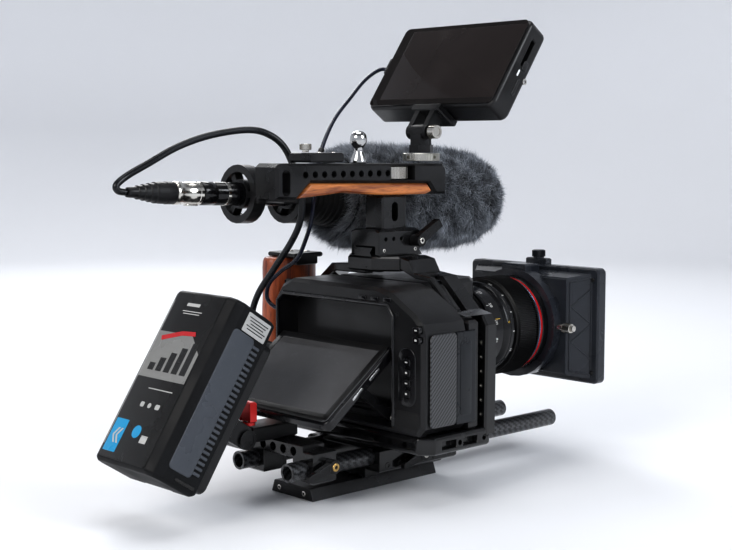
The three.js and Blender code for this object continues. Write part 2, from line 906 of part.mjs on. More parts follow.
function buildMicrophone() {
  const mic = group(rig, MIC_X, 0, MIC_Z);
  mic.rotation.x = MIC_PITCH;
  piece(mic, "microphone", turned([[0, -30], [9.5, -30], [9.5, 110], [0, 110]], 20), MATT_BLACK);
  const connector = turned(
    [
      [0, 110 + GAP],
      [9.3, 110 + GAP],
      [9.3, 136],
      [8.4, 137],
      [8.8, 150],
      [4.2, 178],
      [0, 178],
    ],
    20,
  );
  piece(mic, "mic_connector", connector, STEEL);

  // Two sprung hoops on a bar, carried by a bracket from the handle's left side.
  const hoop = (y0, y1) =>
    cut(disc("y", 24, [0, 0], y0, y1, 24), disc("y", 18, [0, 0], y0 - 1, y1 + 1, 24));
  const saddle = (y0, y1) =>
    cut(
      join(
        disc("y", 12, [0, 0], y0, y1, 20),
        ...[0, 1, 2].map((i) => {
          const spoke = block([-2.5, 2.5], [y0, y1], [10, 20]);
          return spoke.rotateY((i * 2 * Math.PI) / 3 + 0.5);
        }),
      ),
      disc("y", 9.5 + GAP, [0, 0], y0 - 1, y1 + 1, 20),
    );
  const mount = join(
    hoop(60, 72),
    saddle(62, 70),
    hoop(10, 22),
    saddle(12, 20),
    block([HANDLE_HALF_WIDTH + GAP - MIC_X, -22], [52, 64], [-6, 6], 1),
    block([-27, -22], [11, 71], [-7, 7], 1),
  );
  piece(mic, "shock_mount", mount, MATT_BLACK);

  const cover = turned(
    [
      [9.5 + GAP, 8],
      [20, 8],
      [21, -30],
      [34, -34],
      [43, -60],
      [46, -110],
      [46, -165],
      [42, -202],
      [32, -226],
      [16, -238],
      [0, -242],
      [0, -31],
      [9.5 + GAP, -31],
    ],
    24,
  );
  piece(mic, "windshield", cover, FUR);
}
buildMicrophone();

// ---- Side handle ----------------------------------------------------------------------------------

const SIDE_HANDLE_X = 106;
const SIDE_HANDLE_Y = -18;

function buildSideHandle() {
  const grip = turned(
    [
      [0, 72],
      [17, 72],
      [19, 78],
      [18, 100],
      [21, 125],
      [19, 150],
      [20, 176],
      [18, 181],
      [0, 181],
    ],
    20,
  );
  const shaped = grip.scale(0.88, 1, 1.42).rotateX(Math.PI / 2);
  shaped.translate(SIDE_HANDLE_X, SIDE_HANDLE_Y, 0);
  const bracket = join(
    block([79 + GAP, 116], [-34, -2], [181 + GAP, 185.5], 1),
    block([79 + GAP, 85], [-28, -4], [175, 185.5], 1),
  );
  piece(rig, "side_handle_wood", shaped, DARK_WOOD);
  piece(rig, "side_handle_bracket", bracket, SATIN_ALLOY);
}
buildSideHandle();

// ---- Battery --------------------------------------------------------------------------------------

function buildBattery() {
  const arm = join(
    block([2, 28], [62, 107], [48 + GAP, 60], 1.2),
    block([7, 23], [104, 116], [46, 60], 1),
    disc("x", 8, [BATTERY_PIVOT_Y, BATTERY_PIVOT_Z], 7, 23, 20),
  );
  piece(rig, "battery_arm", arm, SATIN_ALLOY);
  piece(
    rig,
    "red_wing_lever",
    join(
      disc("z", 5.6, [11, 105], 61 + GAP, 64, 16),
      block([4, 18], [101.7, 108.3], [63.5, 80], 1.2),
    ),
    RED,
  );

  const tilt = group(rig, BATTERY_X, BATTERY_PIVOT_Y, BATTERY_PIVOT_Z);
  tilt.rotation.x = BATTERY_TILT;
  const half = BATTERY_WIDTH / 2;
  const ear = (x0, x1) =>
    join(disc("x", 8, [0, 0], x0, x1, 20), block([x0, x1], [0, 33], [-8, 10], 0.6));
  const mount = join(
    ear(-9, -1 - GAP),
    ear(15 + GAP, 23),
    block([-16, 30], [22, 34], [-24, 32], 1.5),
    plate("y", roundRect(0, 4, 2 * half - 12, 122, 6), 34, 46, 1.5),
    plate("y", [[-14, -30], [14, -30], [17, 11.7], [-17, 11.7]], 45, 50.5),
  );
  piece(tilt, "battery_plate", mount, MATT_BLACK);
  const pack = plate(
    "z",
    [
      [-half, 46 + GAP],
      [half, 46 + GAP],
      [half, 80],
      [half - 3, 86.5],
      [half - 10, 90.5],
      [-half + 10, 90.5],
      [-half + 3, 86.5],
      [-half, 80],
    ],
    -63,
    80,
    2.5,
  );
  const wedgeSlot = block([-17.5, 17.5], [40, 51], [-70, 12.2]);
  piece(tilt, "battery_pack", cut(pack, wedgeSlot), MATT_BLACK);
}
buildBattery();

// ---- Cables ---------------------------------------------------------------------------------------

function buildCables() {
  // Microphone lead: out of the connector's boot, over in an arc, down inside the handle and round
  // to the socket in the camera's left side.
  piece(
    rig,
    "mic_cable",
    cable(
      [
        [65, 178.8, 243.4],
        [65.5, 185, 244.6],
        [66, 186, 249],
        [66, 176, 256],
        [63, 159, 265],
        [58, 134, 278],
        [52, 106, 287],
        [44, 76, 291],
        [37, 60, 287],
        [32, 48, 276],
        [29, 39, 255],
        [29, 33, 236],
        [34, 31, 216],
        [46, 31, 198],
        [66, 32, 176],
        [86, 34, 152],
        [95, 33, 131],
        [92, 26, 113],
        [83, 20, 107],
        [72.6, 18, 106],
      ],
      5.6,
      60,
    ),
    RUBBER,
  );
  // Monitor lead: out of the plug, down behind the handle and round to the camera's left side.
  piece(
    rig,
    "monitor_cable",
    cable(
      [
        [92.6, -128, 347],
        [98, -124, 348],
        [99, -114, 344],
        [94, -96, 335],
        [86, -75, 322],
        [70, -39, 300],
        [52, -8, 273],
        [34, 14, 246],
        [30, 22, 218],
        [40, 20, 200],
        [56, 16, 183],
        [76, 16, 172],
        [90, 18, 160],
        [92, 19, 148],
        [84, 18, 141],
        [72.6, 18, 140],
      ],
      3.6,
      60,
    ),
    RUBBER,
  );
}
buildCables();

export default rig;
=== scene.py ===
# A cine camera rig: box-bodied camera in a metal cage, zoom lens and matte box, top handle with a
# field monitor and a shotgun microphone, wooden side grip, carbon rods and a battery behind.
# Metres; the lens looks along -Y, +Z is up, +X is the operator's left.
import math

import bpy
import numpy as np
from mathutils import Matrix, Vector


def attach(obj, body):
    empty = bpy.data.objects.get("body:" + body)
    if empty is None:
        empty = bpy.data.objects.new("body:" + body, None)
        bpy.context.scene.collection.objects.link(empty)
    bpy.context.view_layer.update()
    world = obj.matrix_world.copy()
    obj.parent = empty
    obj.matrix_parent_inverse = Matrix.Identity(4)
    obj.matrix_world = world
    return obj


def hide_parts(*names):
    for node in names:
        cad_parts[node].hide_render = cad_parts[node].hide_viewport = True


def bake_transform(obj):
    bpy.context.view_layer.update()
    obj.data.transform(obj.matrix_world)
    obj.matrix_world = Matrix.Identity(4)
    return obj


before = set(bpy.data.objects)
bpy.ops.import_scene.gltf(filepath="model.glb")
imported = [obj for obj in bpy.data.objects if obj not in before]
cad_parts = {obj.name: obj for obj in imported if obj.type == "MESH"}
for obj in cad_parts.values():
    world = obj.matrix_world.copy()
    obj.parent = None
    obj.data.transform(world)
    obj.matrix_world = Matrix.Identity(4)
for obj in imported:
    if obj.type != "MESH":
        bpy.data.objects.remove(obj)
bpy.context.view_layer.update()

# ---- Studio: a pale floor that curves up into a wall all round, four soft lights, one camera -------
# The floor is painted board swept up into a cove, so the rig is lit from every side it is seen from.
# The camera stands behind the operator's right shoulder, a little above the rods.


def only(piece):
    bpy.ops.object.select_all(action="DESELECT")
    piece.select_set(True)
    bpy.context.view_layer.objects.active = piece


def edit(piece, mode="FACE"):
    only(piece)
    bpy.ops.object.mode_set(mode="EDIT")
    bpy.ops.mesh.select_mode(type=mode)


def done(piece, angle=35):
    """Back to object mode, with the place in the mesh, doubles merged and normals outwards."""
    if bpy.context.mode != "OBJECT":
        bpy.ops.object.mode_set(mode="OBJECT")
    only(piece)
    bpy.ops.object.transform_apply(location=True, rotation=True, scale=True)
    for modifier in list(piece.modifiers):
        bpy.ops.object.modifier_apply(modifier=modifier.name)
    bpy.ops.object.shade_smooth_by_angle(angle=math.radians(angle))
    return piece


bpy.ops.object.select_all(action="DESELECT")
bpy.ops.mesh.primitive_circle_add(vertices=96, radius=2.2, fill_type="NGON", location=(0, 0, 0))
floor = bpy.context.object
floor.name = "studio_floor"
edit(floor)
bpy.ops.mesh.select_all(action="SELECT")
bpy.ops.mesh.inset(thickness=0.8)
bpy.ops.object.mode_set(mode="OBJECT")
edit(floor, "EDGE")
bpy.ops.mesh.select_all(action="DESELECT")
bpy.ops.object.mode_set(mode="OBJECT")
for edge in floor.data.edges:
    a, b = (floor.data.vertices[i].co for i in edge.vertices)
    edge.select = a.length > 2.1 and b.length > 2.1
edit(floor, "EDGE")
for step in range(8):
    turn = (step + 0.5) / 8 * math.pi / 2
    grow = 1 + 0.1 * math.cos(turn) / 2.2
    bpy.ops.mesh.extrude_edges_move(TRANSFORM_OT_translate={"value": (0, 0, 0.1 * math.sin(turn))})
    bpy.ops.transform.resize(value=(grow, grow, 1), center_override=(0, 0, 0))
bpy.ops.mesh.extrude_edges_move(TRANSFORM_OT_translate={"value": (0, 0, 2.2)})
done(floor, 60)

board = bpy.data.materials.new("studio_board")
board.use_nodes = True
shade = board.node_tree.nodes["Principled BSDF"]
shade.inputs["Base Color"].default_value = (0.78, 0.79, 0.815, 1)
shade.inputs["Roughness"].default_value = 0.9
floor.data.materials.append(board)


def softbox(name, place, target, size, power, tint):
    data = bpy.data.lights.new(name, "AREA")
    data.shape = "RECTANGLE"
    data.size, data.size_y = size
    data.energy = power
    data.color = tint
    light = bpy.data.objects.new(name, data)
    light.location = place
    light.rotation_euler = (Vector(target) - Vector(place)).to_track_quat("-Z", "Y").to_euler()
    bpy.context.collection.objects.link(light)


softbox("softbox_back_left", (-0.2, 1.9, 1.35), (0, 0, 0.15), (1.1, 0.9), 28, (1.0, 0.98, 0.95))
softbox("softbox_right", (-1.9, -0.6, 1.2), (0, -0.05, 0.15), (0.7, 1.1), 24, (0.92, 0.96, 1.0))
softbox("softbox_left", (1.7, -0.9, 1.5), (0, 0, 0.2), (1.0, 1.0), 22, (1, 1, 1))
softbox("softbox_top", (0.1, -0.1, 1.9), (0, 0, 0), (1.2, 1.2), 14, (1, 1, 1))

world = bpy.data.worlds.new("studio_air")
world.use_nodes = True
world.node_tree.nodes["Background"].inputs["Color"].default_value = (0.82, 0.85, 0.92, 1)
world.node_tree.nodes["Background"].inputs["Strength"].default_value = 0.3
bpy.context.scene.world = world

lens_data = bpy.data.cameras.new("view")
lens_data.lens = 67.14
lens_data.sensor_width = 36
lens_data.clip_start = 0.01
view = bpy.data.objects.new("view", lens_data)
view.location = (-0.81663, 0.75921, 0.28168)
view.rotation_euler = (math.radians(90 - 5.58), 0, math.radians(226.66))
bpy.context.collection.objects.link(view)
bpy.context.scene.camera = view

# Plain display colours with the middle tones drawn down, which keeps the rig's blacks deep.
bpy.context.scene.view_settings.view_transform = "Standard"
bpy.context.scene.view_settings.gamma = 0.86

# ---- Cables: the microphone's lead and the monitor's lead ------------------------------------------
# Both are round PVC-jacketed leads. The microphone's runs over the handle and down to the camera's
# left side; the monitor's is thinner, leaves the plug and comes down beside it to the same side.


def handled_group():
    """Colour, roughness and height of a surface that has been made, handled and cleaned."""
    tree = bpy.data.node_groups.new("handled_surface", "ShaderNodeTree")
    face = tree.interface
    face.new_socket("Vector", in_out="INPUT", socket_type="NodeSocketVector")
    for name in ("Base", "Mark"):
        face.new_socket(name, in_out="INPUT", socket_type="NodeSocketColor")
    for name in ("Roughness", "Spread", "Grain", "Scratch"):
        face.new_socket(name, in_out="INPUT", socket_type="NodeSocketFloat")
    face.new_socket("Colour", in_out="OUTPUT", socket_type="NodeSocketColor")
    face.new_socket("Roughness", in_out="OUTPUT", socket_type="NodeSocketFloat")
    face.new_socket("Height", in_out="OUTPUT", socket_type="NodeSocketFloat")
    new, link = tree.nodes.new, tree.links.new
    given, out = new("NodeGroupInput"), new("NodeGroupOutput")

    def noise(scale, detail, stretch=(1, 1, 1), linked=None):
        bed = new("ShaderNodeMapping")
        bed.inputs["Scale"].default_value = stretch
        link(given.outputs["Vector"], bed.inputs["Vector"])
        cloud = new("ShaderNodeTexNoise")
        cloud.inputs["Scale"].default_value = scale
        cloud.inputs["Detail"].default_value = detail
        link(bed.outputs["Vector"], cloud.inputs["Vector"])
        if linked:
            link(linked, cloud.inputs["Scale"])
        return cloud.outputs["Fac"]

    def spread(value, low, high, to_low=0.0, to_high=1.0):
        ramp = new("ShaderNodeMapRange")
        ramp.interpolation_type = "SMOOTHSTEP"
        for name, number in zip(("From Min", "From Max", "To Min", "To Max"), (low, high, to_low, to_high)):
            ramp.inputs[name].default_value = number
        link(value, ramp.inputs["Value"])
        return ramp.outputs["Result"]

    def maths(operation, a, b):
        node = new("ShaderNodeMath")
        node.operation = operation
        for socket, value in zip(node.inputs, (a, b)):
            if isinstance(value, (int, float)):
                socket.default_value = value
            else:
                link(value, socket)
        return node.outputs[0]

    smudge = spread(noise(22, 5), 0.38, 0.68)
    fleck = spread(noise(260, 3), 0.60, 0.72)
    lines = maths("ADD", noise(30, 2, (60, 1, 4)), noise(26, 2, (2, 5, 70)))
    scratch = maths("MULTIPLY", spread(lines, 1.22, 1.30), given.outputs["Scratch"])
    mask = maths("ADD", maths("MULTIPLY", smudge, 0.55), maths("MULTIPLY", fleck, 0.35))
    mask = maths("ADD", maths("MULTIPLY", mask, given.outputs["Spread"]), scratch)
    blend = new("ShaderNodeMix")
    blend.data_type = "RGBA"
    link(mask, blend.inputs["Factor"])
    link(given.outputs["Base"], blend.inputs["A"])
    link(given.outputs["Mark"], blend.inputs["B"])
    link(blend.outputs["Result"], out.inputs["Colour"])
    polish = maths("MULTIPLY", maths("SUBTRACT", smudge, 0.5), 0.22)
    link(maths("ADD", given.outputs["Roughness"], polish), out.inputs["Roughness"])
    grain = noise(1800, 2, linked=given.outputs["Grain"])
    link(maths("SUBTRACT", grain, maths("MULTIPLY", scratch, 0.5)), out.inputs["Height"])
    return tree


handled_surface = handled_group()


def surface(name, base, mark, roughness, metallic, grain=1800, depth=0.00004, spread=0.5, scratch=0.1,
            strength=0.5, coat=0.0):
    material = bpy.data.materials.new(name)
    material.use_nodes = True
    new, link = material.node_tree.nodes.new, material.node_tree.links.new
    shader = material.node_tree.nodes["Principled BSDF"]
    shader.inputs["Metallic"].default_value = metallic
    shader.inputs["Specular IOR Level"].default_value = 0.3 if metallic < 0.2 else 0.5
    shader.inputs["Coat Weight"].default_value = coat
    shader.inputs["Coat Roughness"].default_value = 0.12
    place = new("ShaderNodeTexCoord")
    skin = new("ShaderNodeGroup")
    skin.name = "skin"
    skin.node_tree = handled_surface
    skin.inputs["Base"].default_value = (*base, 1)
    skin.inputs["Mark"].default_value = (*mark, 1)
    for socket, value in (("Roughness", roughness), ("Spread", spread), ("Grain", grain),
                          ("Scratch", scratch)):
        skin.inputs[socket].default_value = value
    link(place.outputs["Object"], skin.inputs["Vector"])
    link(skin.outputs["Colour"], shader.inputs["Base Color"])
    link(skin.outputs["Roughness"], shader.inputs["Roughness"])
    relief = new("ShaderNodeBump")
    relief.name = "relief"
    relief.inputs["Strength"].default_value = strength
    relief.inputs["Distance"].default_value = depth
    link(skin.outputs["Height"], relief.inputs["Height"])
    link(relief.outputs["Normal"], shader.inputs["Normal"])
    return material


jacket = surface("cable_jacket", (0.006, 0.007, 0.009), (0.03, 0.034, 0.042), 0.32, 0.0, grain=900,
                 depth=0.00006)
jacket_blue = surface("monitor_cable_jacket", (0.006, 0.008, 0.02), (0.02, 0.028, 0.06), 0.3, 0.0, grain=900)

mic_route = [
    (65, 178.8, 243.4), (65.5, 185, 244.6), (66, 186, 249), (66, 176, 256), (63, 159, 265),
    (58, 134, 278), (52, 106, 287), (44, 76, 291), (37, 60, 287), (32, 48, 276), (29, 39, 255),
    (29, 33, 236), (34, 31, 216), (46, 31, 198), (66, 32, 176), (86, 34, 152), (95, 33, 131),
    (92, 26, 113), (83, 20, 107), (72.6, 18, 106),
]
monitor_route = [
    (92.6, -128, 347), (98, -124, 348), (99, -114, 344), (94, -96, 335), (86, -75, 322),
    (70, -39, 300), (52, -8, 273), (34, 14, 246), (30, 22, 218), (40, 20, 200), (56, 16, 183),
    (76, 16, 172), (90, 18, 160), (92, 19, 148), (84, 18, 141), (72.6, 18, 140),
]


def smooth_route(points, each=8):
    """The route in metres, as the even curve that runs through its points."""
    p = [Vector(q) / 1000 for q in points]
    p = [p[0] * 2 - p[1]] + p + [p[-1] * 2 - p[-2]]
    line = []
    for i in range(1, len(p) - 2):
        for k in range(each):
            t = k / each
            a, b, c, d = p[i - 1], p[i], p[i + 1], p[i + 2]
            line.append(0.5 * (2 * b + (c - a) * t + (2 * a - 5 * b + 4 * c - d) * t**2
                               + (3 * b - a - 3 * c + d) * t**3))
    line.append(p[-2])
    return line


def tube(name, line, radius, sides=12):
    """A round lead along a line, with closed ends."""
    verts, faces = [], []
    up = Vector((0.3, 0.2, 1)).normalized()
    for i, at in enumerate(line):
        ahead = (line[min(i + 1, len(line) - 1)] - line[max(i - 1, 0)]).normalized()
        side = ahead.cross(up).normalized()
        up = side.cross(ahead).normalized()
        for k in range(sides):
            turn = 2 * math.pi * k / sides
            verts.append(at + radius * (math.cos(turn) * side + math.sin(turn) * up))
    for i in range(len(line) - 1):
        for k in range(sides):
            a, b = i * sides + k, i * sides + (k + 1) % sides
            faces.append((a, a + sides, b + sides, b))
    faces.append(tuple(range(sides)))
    faces.append(tuple(range(len(verts) - 1, len(verts) - 1 - sides, -1)))
    mesh = bpy.data.meshes.new(name)
    mesh.from_pydata([tuple(v) for v in verts], [], faces)
    made = bpy.data.objects.new(name, mesh)
    bpy.context.collection.objects.link(made)
    edit(made)
    bpy.ops.mesh.select_all(action="SELECT")
    bpy.ops.mesh.normals_make_consistent(inside=False)
    return done(made, 60)


def flat_faces(piece):
    """Keep the broad faces flat to the eye and let only the bevels between them turn the light."""
    only(piece)
    even = piece.modifiers.new("even", "WEIGHTED_NORMAL")
    even.keep_sharp = True
    bpy.ops.object.modifier_apply(modifier="even")
    return piece


def broken_edges(node, width, angle=28, segments=2):
    """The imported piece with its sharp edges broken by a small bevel; it stands for the plain one."""
    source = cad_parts[node]
    made = bpy.data.objects.new(node + "_made", source.data.copy())
    made.data.materials.clear()
    bpy.context.collection.objects.link(made)
    edit(made)
    bpy.ops.mesh.select_all(action="SELECT")
    bpy.ops.mesh.remove_doubles(threshold=0.000002)
    bpy.ops.mesh.dissolve_limited(angle_limit=math.radians(1))
    bpy.ops.object.mode_set(mode="OBJECT")
    bevel = made.modifiers.new("edge", "BEVEL")
    bevel.width = width
    bevel.segments = segments
    bevel.limit_method = "ANGLE"
    bevel.angle_limit = math.radians(angle)
    bevel.use_clamp_overlap = True
    done(made)
    return flat_faces(made)


def settle(piece, material, body, slot, *nodes):
    piece.data.materials.clear()
    piece.data.materials.append(material)
    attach(piece, body)
    if nodes:
        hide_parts(*nodes)
    return piece


def join_all(pieces, name):
    bpy.ops.object.select_all(action="DESELECT")
    for one in pieces:
        one.select_set(True)
    bpy.context.view_layer.objects.active = pieces[0]
    if len(pieces) > 1:
        bpy.ops.object.join()
    pieces[0].name = name
    return pieces[0]


AXES = {
    "x": Matrix.Rotation(math.pi / 2, 4, "Y"),
    "-x": Matrix.Rotation(-math.pi / 2, 4, "Y"),
    "y": Matrix.Rotation(-math.pi / 2, 4, "X"),
    "-y": Matrix.Rotation(math.pi / 2, 4, "X"),
    "z": Matrix.Identity(4),
    "-z": Matrix.Rotation(math.pi, 4, "X"),
}


def select_faces(piece, test):
    if bpy.context.mode != "OBJECT":
        bpy.ops.object.mode_set(mode="OBJECT")
    for part in (piece.data.vertices, piece.data.edges):
        for one in part:
            one.select = False
    for polygon in piece.data.polygons:
        polygon.select = bool(test(polygon.center, polygon.normal))
    edit(piece)


def cap_screw(place, facing, radius, depth=0.0016):
    """A round-headed socket screw, its head standing off the face that it is driven into."""
    bpy.ops.object.select_all(action="DESELECT")
    bpy.ops.mesh.primitive_cylinder_add(vertices=24, radius=radius, depth=depth, location=(0, 0, depth / 2))
    head = bpy.context.object
    select_faces(head, lambda c, n: n.z > 0.9)
    bpy.ops.mesh.bevel(offset=radius * 0.18, segments=2, affect="EDGES")
    select_faces(head, lambda c, n: n.z > 0.99)
    bpy.ops.mesh.inset(thickness=radius * 0.34)
    bpy.ops.mesh.extrude_region_move(TRANSFORM_OT_translate={"value": (0, 0, -depth * 0.75)})
    bpy.ops.object.mode_set(mode="OBJECT")
    head.data.transform(Matrix.Translation(place) @ AXES[facing])
    head.location = (0, 0, 0)
    return head


def turned(name, profile, centre, steps=96, angle=35):
    """A piece spun about an axis along Y through centre, from a closed outline of (radius, y) in mm."""
    points = [(centre[0] + r / 1000, y / 1000, centre[2]) for r, y in profile]
    mesh = bpy.data.meshes.new(name)
    mesh.from_pydata(points, [(i, (i + 1) % len(points)) for i in range(len(points))], [])
    made = bpy.data.objects.new(name, mesh)
    bpy.context.collection.objects.link(made)
    edit(made, "VERT")
    bpy.ops.mesh.select_all(action="SELECT")
    bpy.ops.mesh.spin(steps=steps, angle=2 * math.pi, center=centre, axis=(0, 1, 0))
    bpy.ops.mesh.select_all(action="SELECT")
    bpy.ops.mesh.remove_doubles(threshold=0.000003)
    bpy.ops.mesh.delete_loose()
    bpy.ops.mesh.select_all(action="SELECT")
    bpy.ops.mesh.normals_make_consistent(inside=False)
    return done(made, angle)


def turn_about(piece, matrix):
    """Carry a finished piece into its turned place, in its mesh."""
    piece.data.transform(matrix)
    return piece


# The plug is a nickel shell with a latch and a tapered rubber boot that grips the lead; the monitor's
# plug is a moulded block with a grooved grip.
nickel = surface("turned_nickel", (0.60, 0.58, 0.54), (0.32, 0.31, 0.29), 0.22, 1.0, grain=2600,
                 depth=0.00002)
boot_rubber = surface("boot_rubber", (0.006, 0.006, 0.007), (0.02, 0.02, 0.023), 0.45, 0.0, grain=1400)
MIC_PLACE = Matrix.Translation((0.065, 0, 0.2365)) @ Matrix.Rotation(math.radians(2.2), 4, "X")

plug_shell = turned("mic_plug_shell", [
    (5.0, 110.4), (8.7, 110.4), (9.2, 111.0), (9.2, 113.5), (8.8, 114), (8.8, 115), (9.2, 115.5),
    (9.2, 121), (9.0, 121.4), (9.0, 131), (9.3, 131.5), (9.3, 134.5), (8.9, 135.6), (5.0, 135.6),
], (0, 0, 0))
bpy.ops.object.select_all(action="DESELECT")
bpy.ops.mesh.primitive_cube_add(size=1, location=(0, 0.118, -0.0092), scale=(0.0052, 0.011, 0.0016))
latch = bpy.context.object
edit(latch)
bpy.ops.mesh.select_all(action="SELECT")
bpy.ops.mesh.bevel(offset=0.0005, segments=2, affect="EDGES")
done(latch)
plug_shell = join_all([plug_shell, latch], "mic_plug_shell")
turn_about(plug_shell, MIC_PLACE)
settle(plug_shell, nickel, "camera", "bright_metal", "mic_connector")

boot_outline = [(4.0, 135.8), (8.6, 135.8), (8.9, 136.6), (8.9, 143), (8.6, 143.4), (8.6, 149)]
for ridge in range(4):
    y = 150 + ridge * 5.2
    wide = 8.3 - ridge * 0.95
    boot_outline += [(wide, y), (wide, y + 3.4), (wide - 0.8, y + 3.9), (wide - 0.9, y + 4.9)]
boot_outline += [(4.3, 172), (4.0, 177.4), (3.6, 178), (2.9, 178), (2.9, 160)]
boot = turn_about(turned("mic_plug_boot", boot_outline, (0, 0, 0)), MIC_PLACE)
settle(boot, boot_rubber, "camera", "rubber")

plug_body = broken_edges("hdmi_plug", 0.0009)
settle(plug_body, boot_rubber, "monitor", "black_plastic", "hdmi_plug")

mic_line = smooth_route(mic_route)
mic_lead = tube("mic_lead", mic_line, 0.0028)
mic_lead.data.materials.append(jacket)
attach(mic_lead, "camera")
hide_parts("mic_cable")

# The monitor's lead is in two lengths that meet under a small tie behind the handle.
monitor_line = smooth_route(monitor_route)
meeting = 6 * 8
upper_line, lower_line = monitor_line[: meeting + 1], monitor_line[meeting:]
upper_lead = tube("monitor_lead_upper", upper_line, 0.0018, 10)
lower_lead = tube("monitor_lead_lower", lower_line, 0.0018, 10)
for lead in (upper_lead, lower_lead):
    lead.data.materials.append(jacket_blue)
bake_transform(upper_lead)
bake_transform(lower_lead)
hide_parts("monitor_cable")

tie_at = monitor_line[meeting]
bpy.ops.object.select_all(action="DESELECT")
tie_turn = (monitor_line[meeting + 1] - monitor_line[meeting - 1]).to_track_quat("Z", "Y").to_euler()
bpy.ops.mesh.primitive_cylinder_add(vertices=20, radius=0.0026, depth=0.007, location=tie_at,
                                    rotation=tie_turn)
cable_tie = bpy.context.object
cable_tie.name = "cable_tie"
edit(cable_tie)
bpy.ops.mesh.select_all(action="SELECT")
bpy.ops.mesh.bevel(offset=0.0006, segments=2, affect="EDGES")
done(cable_tie)
settle(cable_tie, boot_rubber, "swivel", "rubber")

# ---- Tripod plate, riser baseplate, rod clamps and their levers ------------------------------------
# Milled aluminium, hard anodised: the dovetail plate satin, the baseplate and clamp glossy black.
# They are held together and to the rods by steel cap screws and two side levers.


def screws(name, body, material, radius, facing, places, depth=0.0016):
    made = []
    for place in places:
        head = cap_screw(Vector(place) / 1000, facing, radius, depth)
        done(head)
        made.append(head)
    joined = join_all(made, name)
    return settle(joined, material, body, "bright_metal")


satin = surface("satin_anodising", (0.009, 0.009, 0.010), (0.035, 0.035, 0.036), 0.36, 0.45, grain=2600)
gloss = surface("gloss_anodising", (0.004, 0.004, 0.0045), (0.022, 0.022, 0.024), 0.2, 0.3, grain=1500,
                depth=0.00002, scratch=0.18, coat=0.3)
worn_steel = surface("black_oxide_steel", (0.05, 0.05, 0.05), (0.2, 0.19, 0.17), 0.34, 0.9, grain=2200)
brass = surface("brass_screw_end", (0.62, 0.42, 0.16), (0.3, 0.19, 0.08), 0.28, 1.0, grain=2600)

for node, width, material, slot in (
    ("tripod_plate", 0.0008, satin, "satin_alloy"),
    ("baseplate", 0.0006, gloss, "black_anodised"),
    ("rear_rod_clamp", 0.0006, gloss, "black_anodised"),
):
    settle(broken_edges(node, width), material, "camera", slot, node)
for node in ("rear_clamp_lever", "baseplate_lever"):
    settle(broken_edges(node, 0.0008), satin, node, "satin_alloy", node)
screws("clamp_lever_screw", "rear_clamp_lever", brass, 0.0034, "-x", [(-50.2, 68, 32)])
screws("baseplate_lever_screw", "baseplate_lever", nickel, 0.003, "-x", [(-52.2, -30, 27)])
screws("baseplate_screws", "camera", worn_steel, 0.0028, "-x", [(-43.7, y, 22) for y in (-66, -48, -8, 6)])
screws("clamp_screws", "camera", worn_steel, 0.0026, "y", [(x, 83.8, 23) for x in (-38, 38)])
screws("plate_end_screws", "camera", nickel, 0.0022, "y", [(x, 69.8, 5) for x in (-15, 15)])

# ---- Carbon rods -----------------------------------------------------------------------------------
# Two 15 mm tubes of wrapped twill carbon fibre under clear lacquer, clamped in the baseplate.
# The tow is about two millimetres wide, and each end is cut square and lightly broken.


def twill_group():
    """A two-over-two twill: which way each tow lies, and its crown, from two lengths in metres."""
    tree = bpy.data.node_groups.new("carbon_twill", "ShaderNodeTree")
    face = tree.interface
    for name in ("Across", "Along", "Tow"):
        face.new_socket(name, in_out="INPUT", socket_type="NodeSocketFloat")
    for name in ("Warp", "Height"):
        face.new_socket(name, in_out="OUTPUT", socket_type="NodeSocketFloat")
    new, link = tree.nodes.new, tree.links.new
    given, out = new("NodeGroupInput"), new("NodeGroupOutput")

    def maths(operation, a, b=0.0):
        node = new("ShaderNodeMath")
        node.operation = operation
        for socket, value in zip(node.inputs, (a, b)):
            if isinstance(value, (int, float)):
                socket.default_value = value
            else:
                link(value, socket)
        return node.outputs[0]

    u = maths("DIVIDE", given.outputs["Across"], given.outputs["Tow"])
    v = maths("DIVIDE", given.outputs["Along"], given.outputs["Tow"])
    step = maths("FLOORED_MODULO", maths("ADD", maths("FLOOR", u), maths("FLOOR", v)), 4)
    warp = maths("LESS_THAN", step, 1.5)
    crown_u = maths("ABSOLUTE", maths("SINE", maths("MULTIPLY", u, math.pi)))
    crown_v = maths("ABSOLUTE", maths("SINE", maths("MULTIPLY", v, math.pi)))
    over = maths("MULTIPLY", warp, crown_u)
    under = maths("MULTIPLY", maths("SUBTRACT", 1.0, warp), crown_v)
    link(warp, out.inputs["Warp"])
    link(maths("ADD", over, under), out.inputs["Height"])
    return tree


carbon_twill = twill_group()


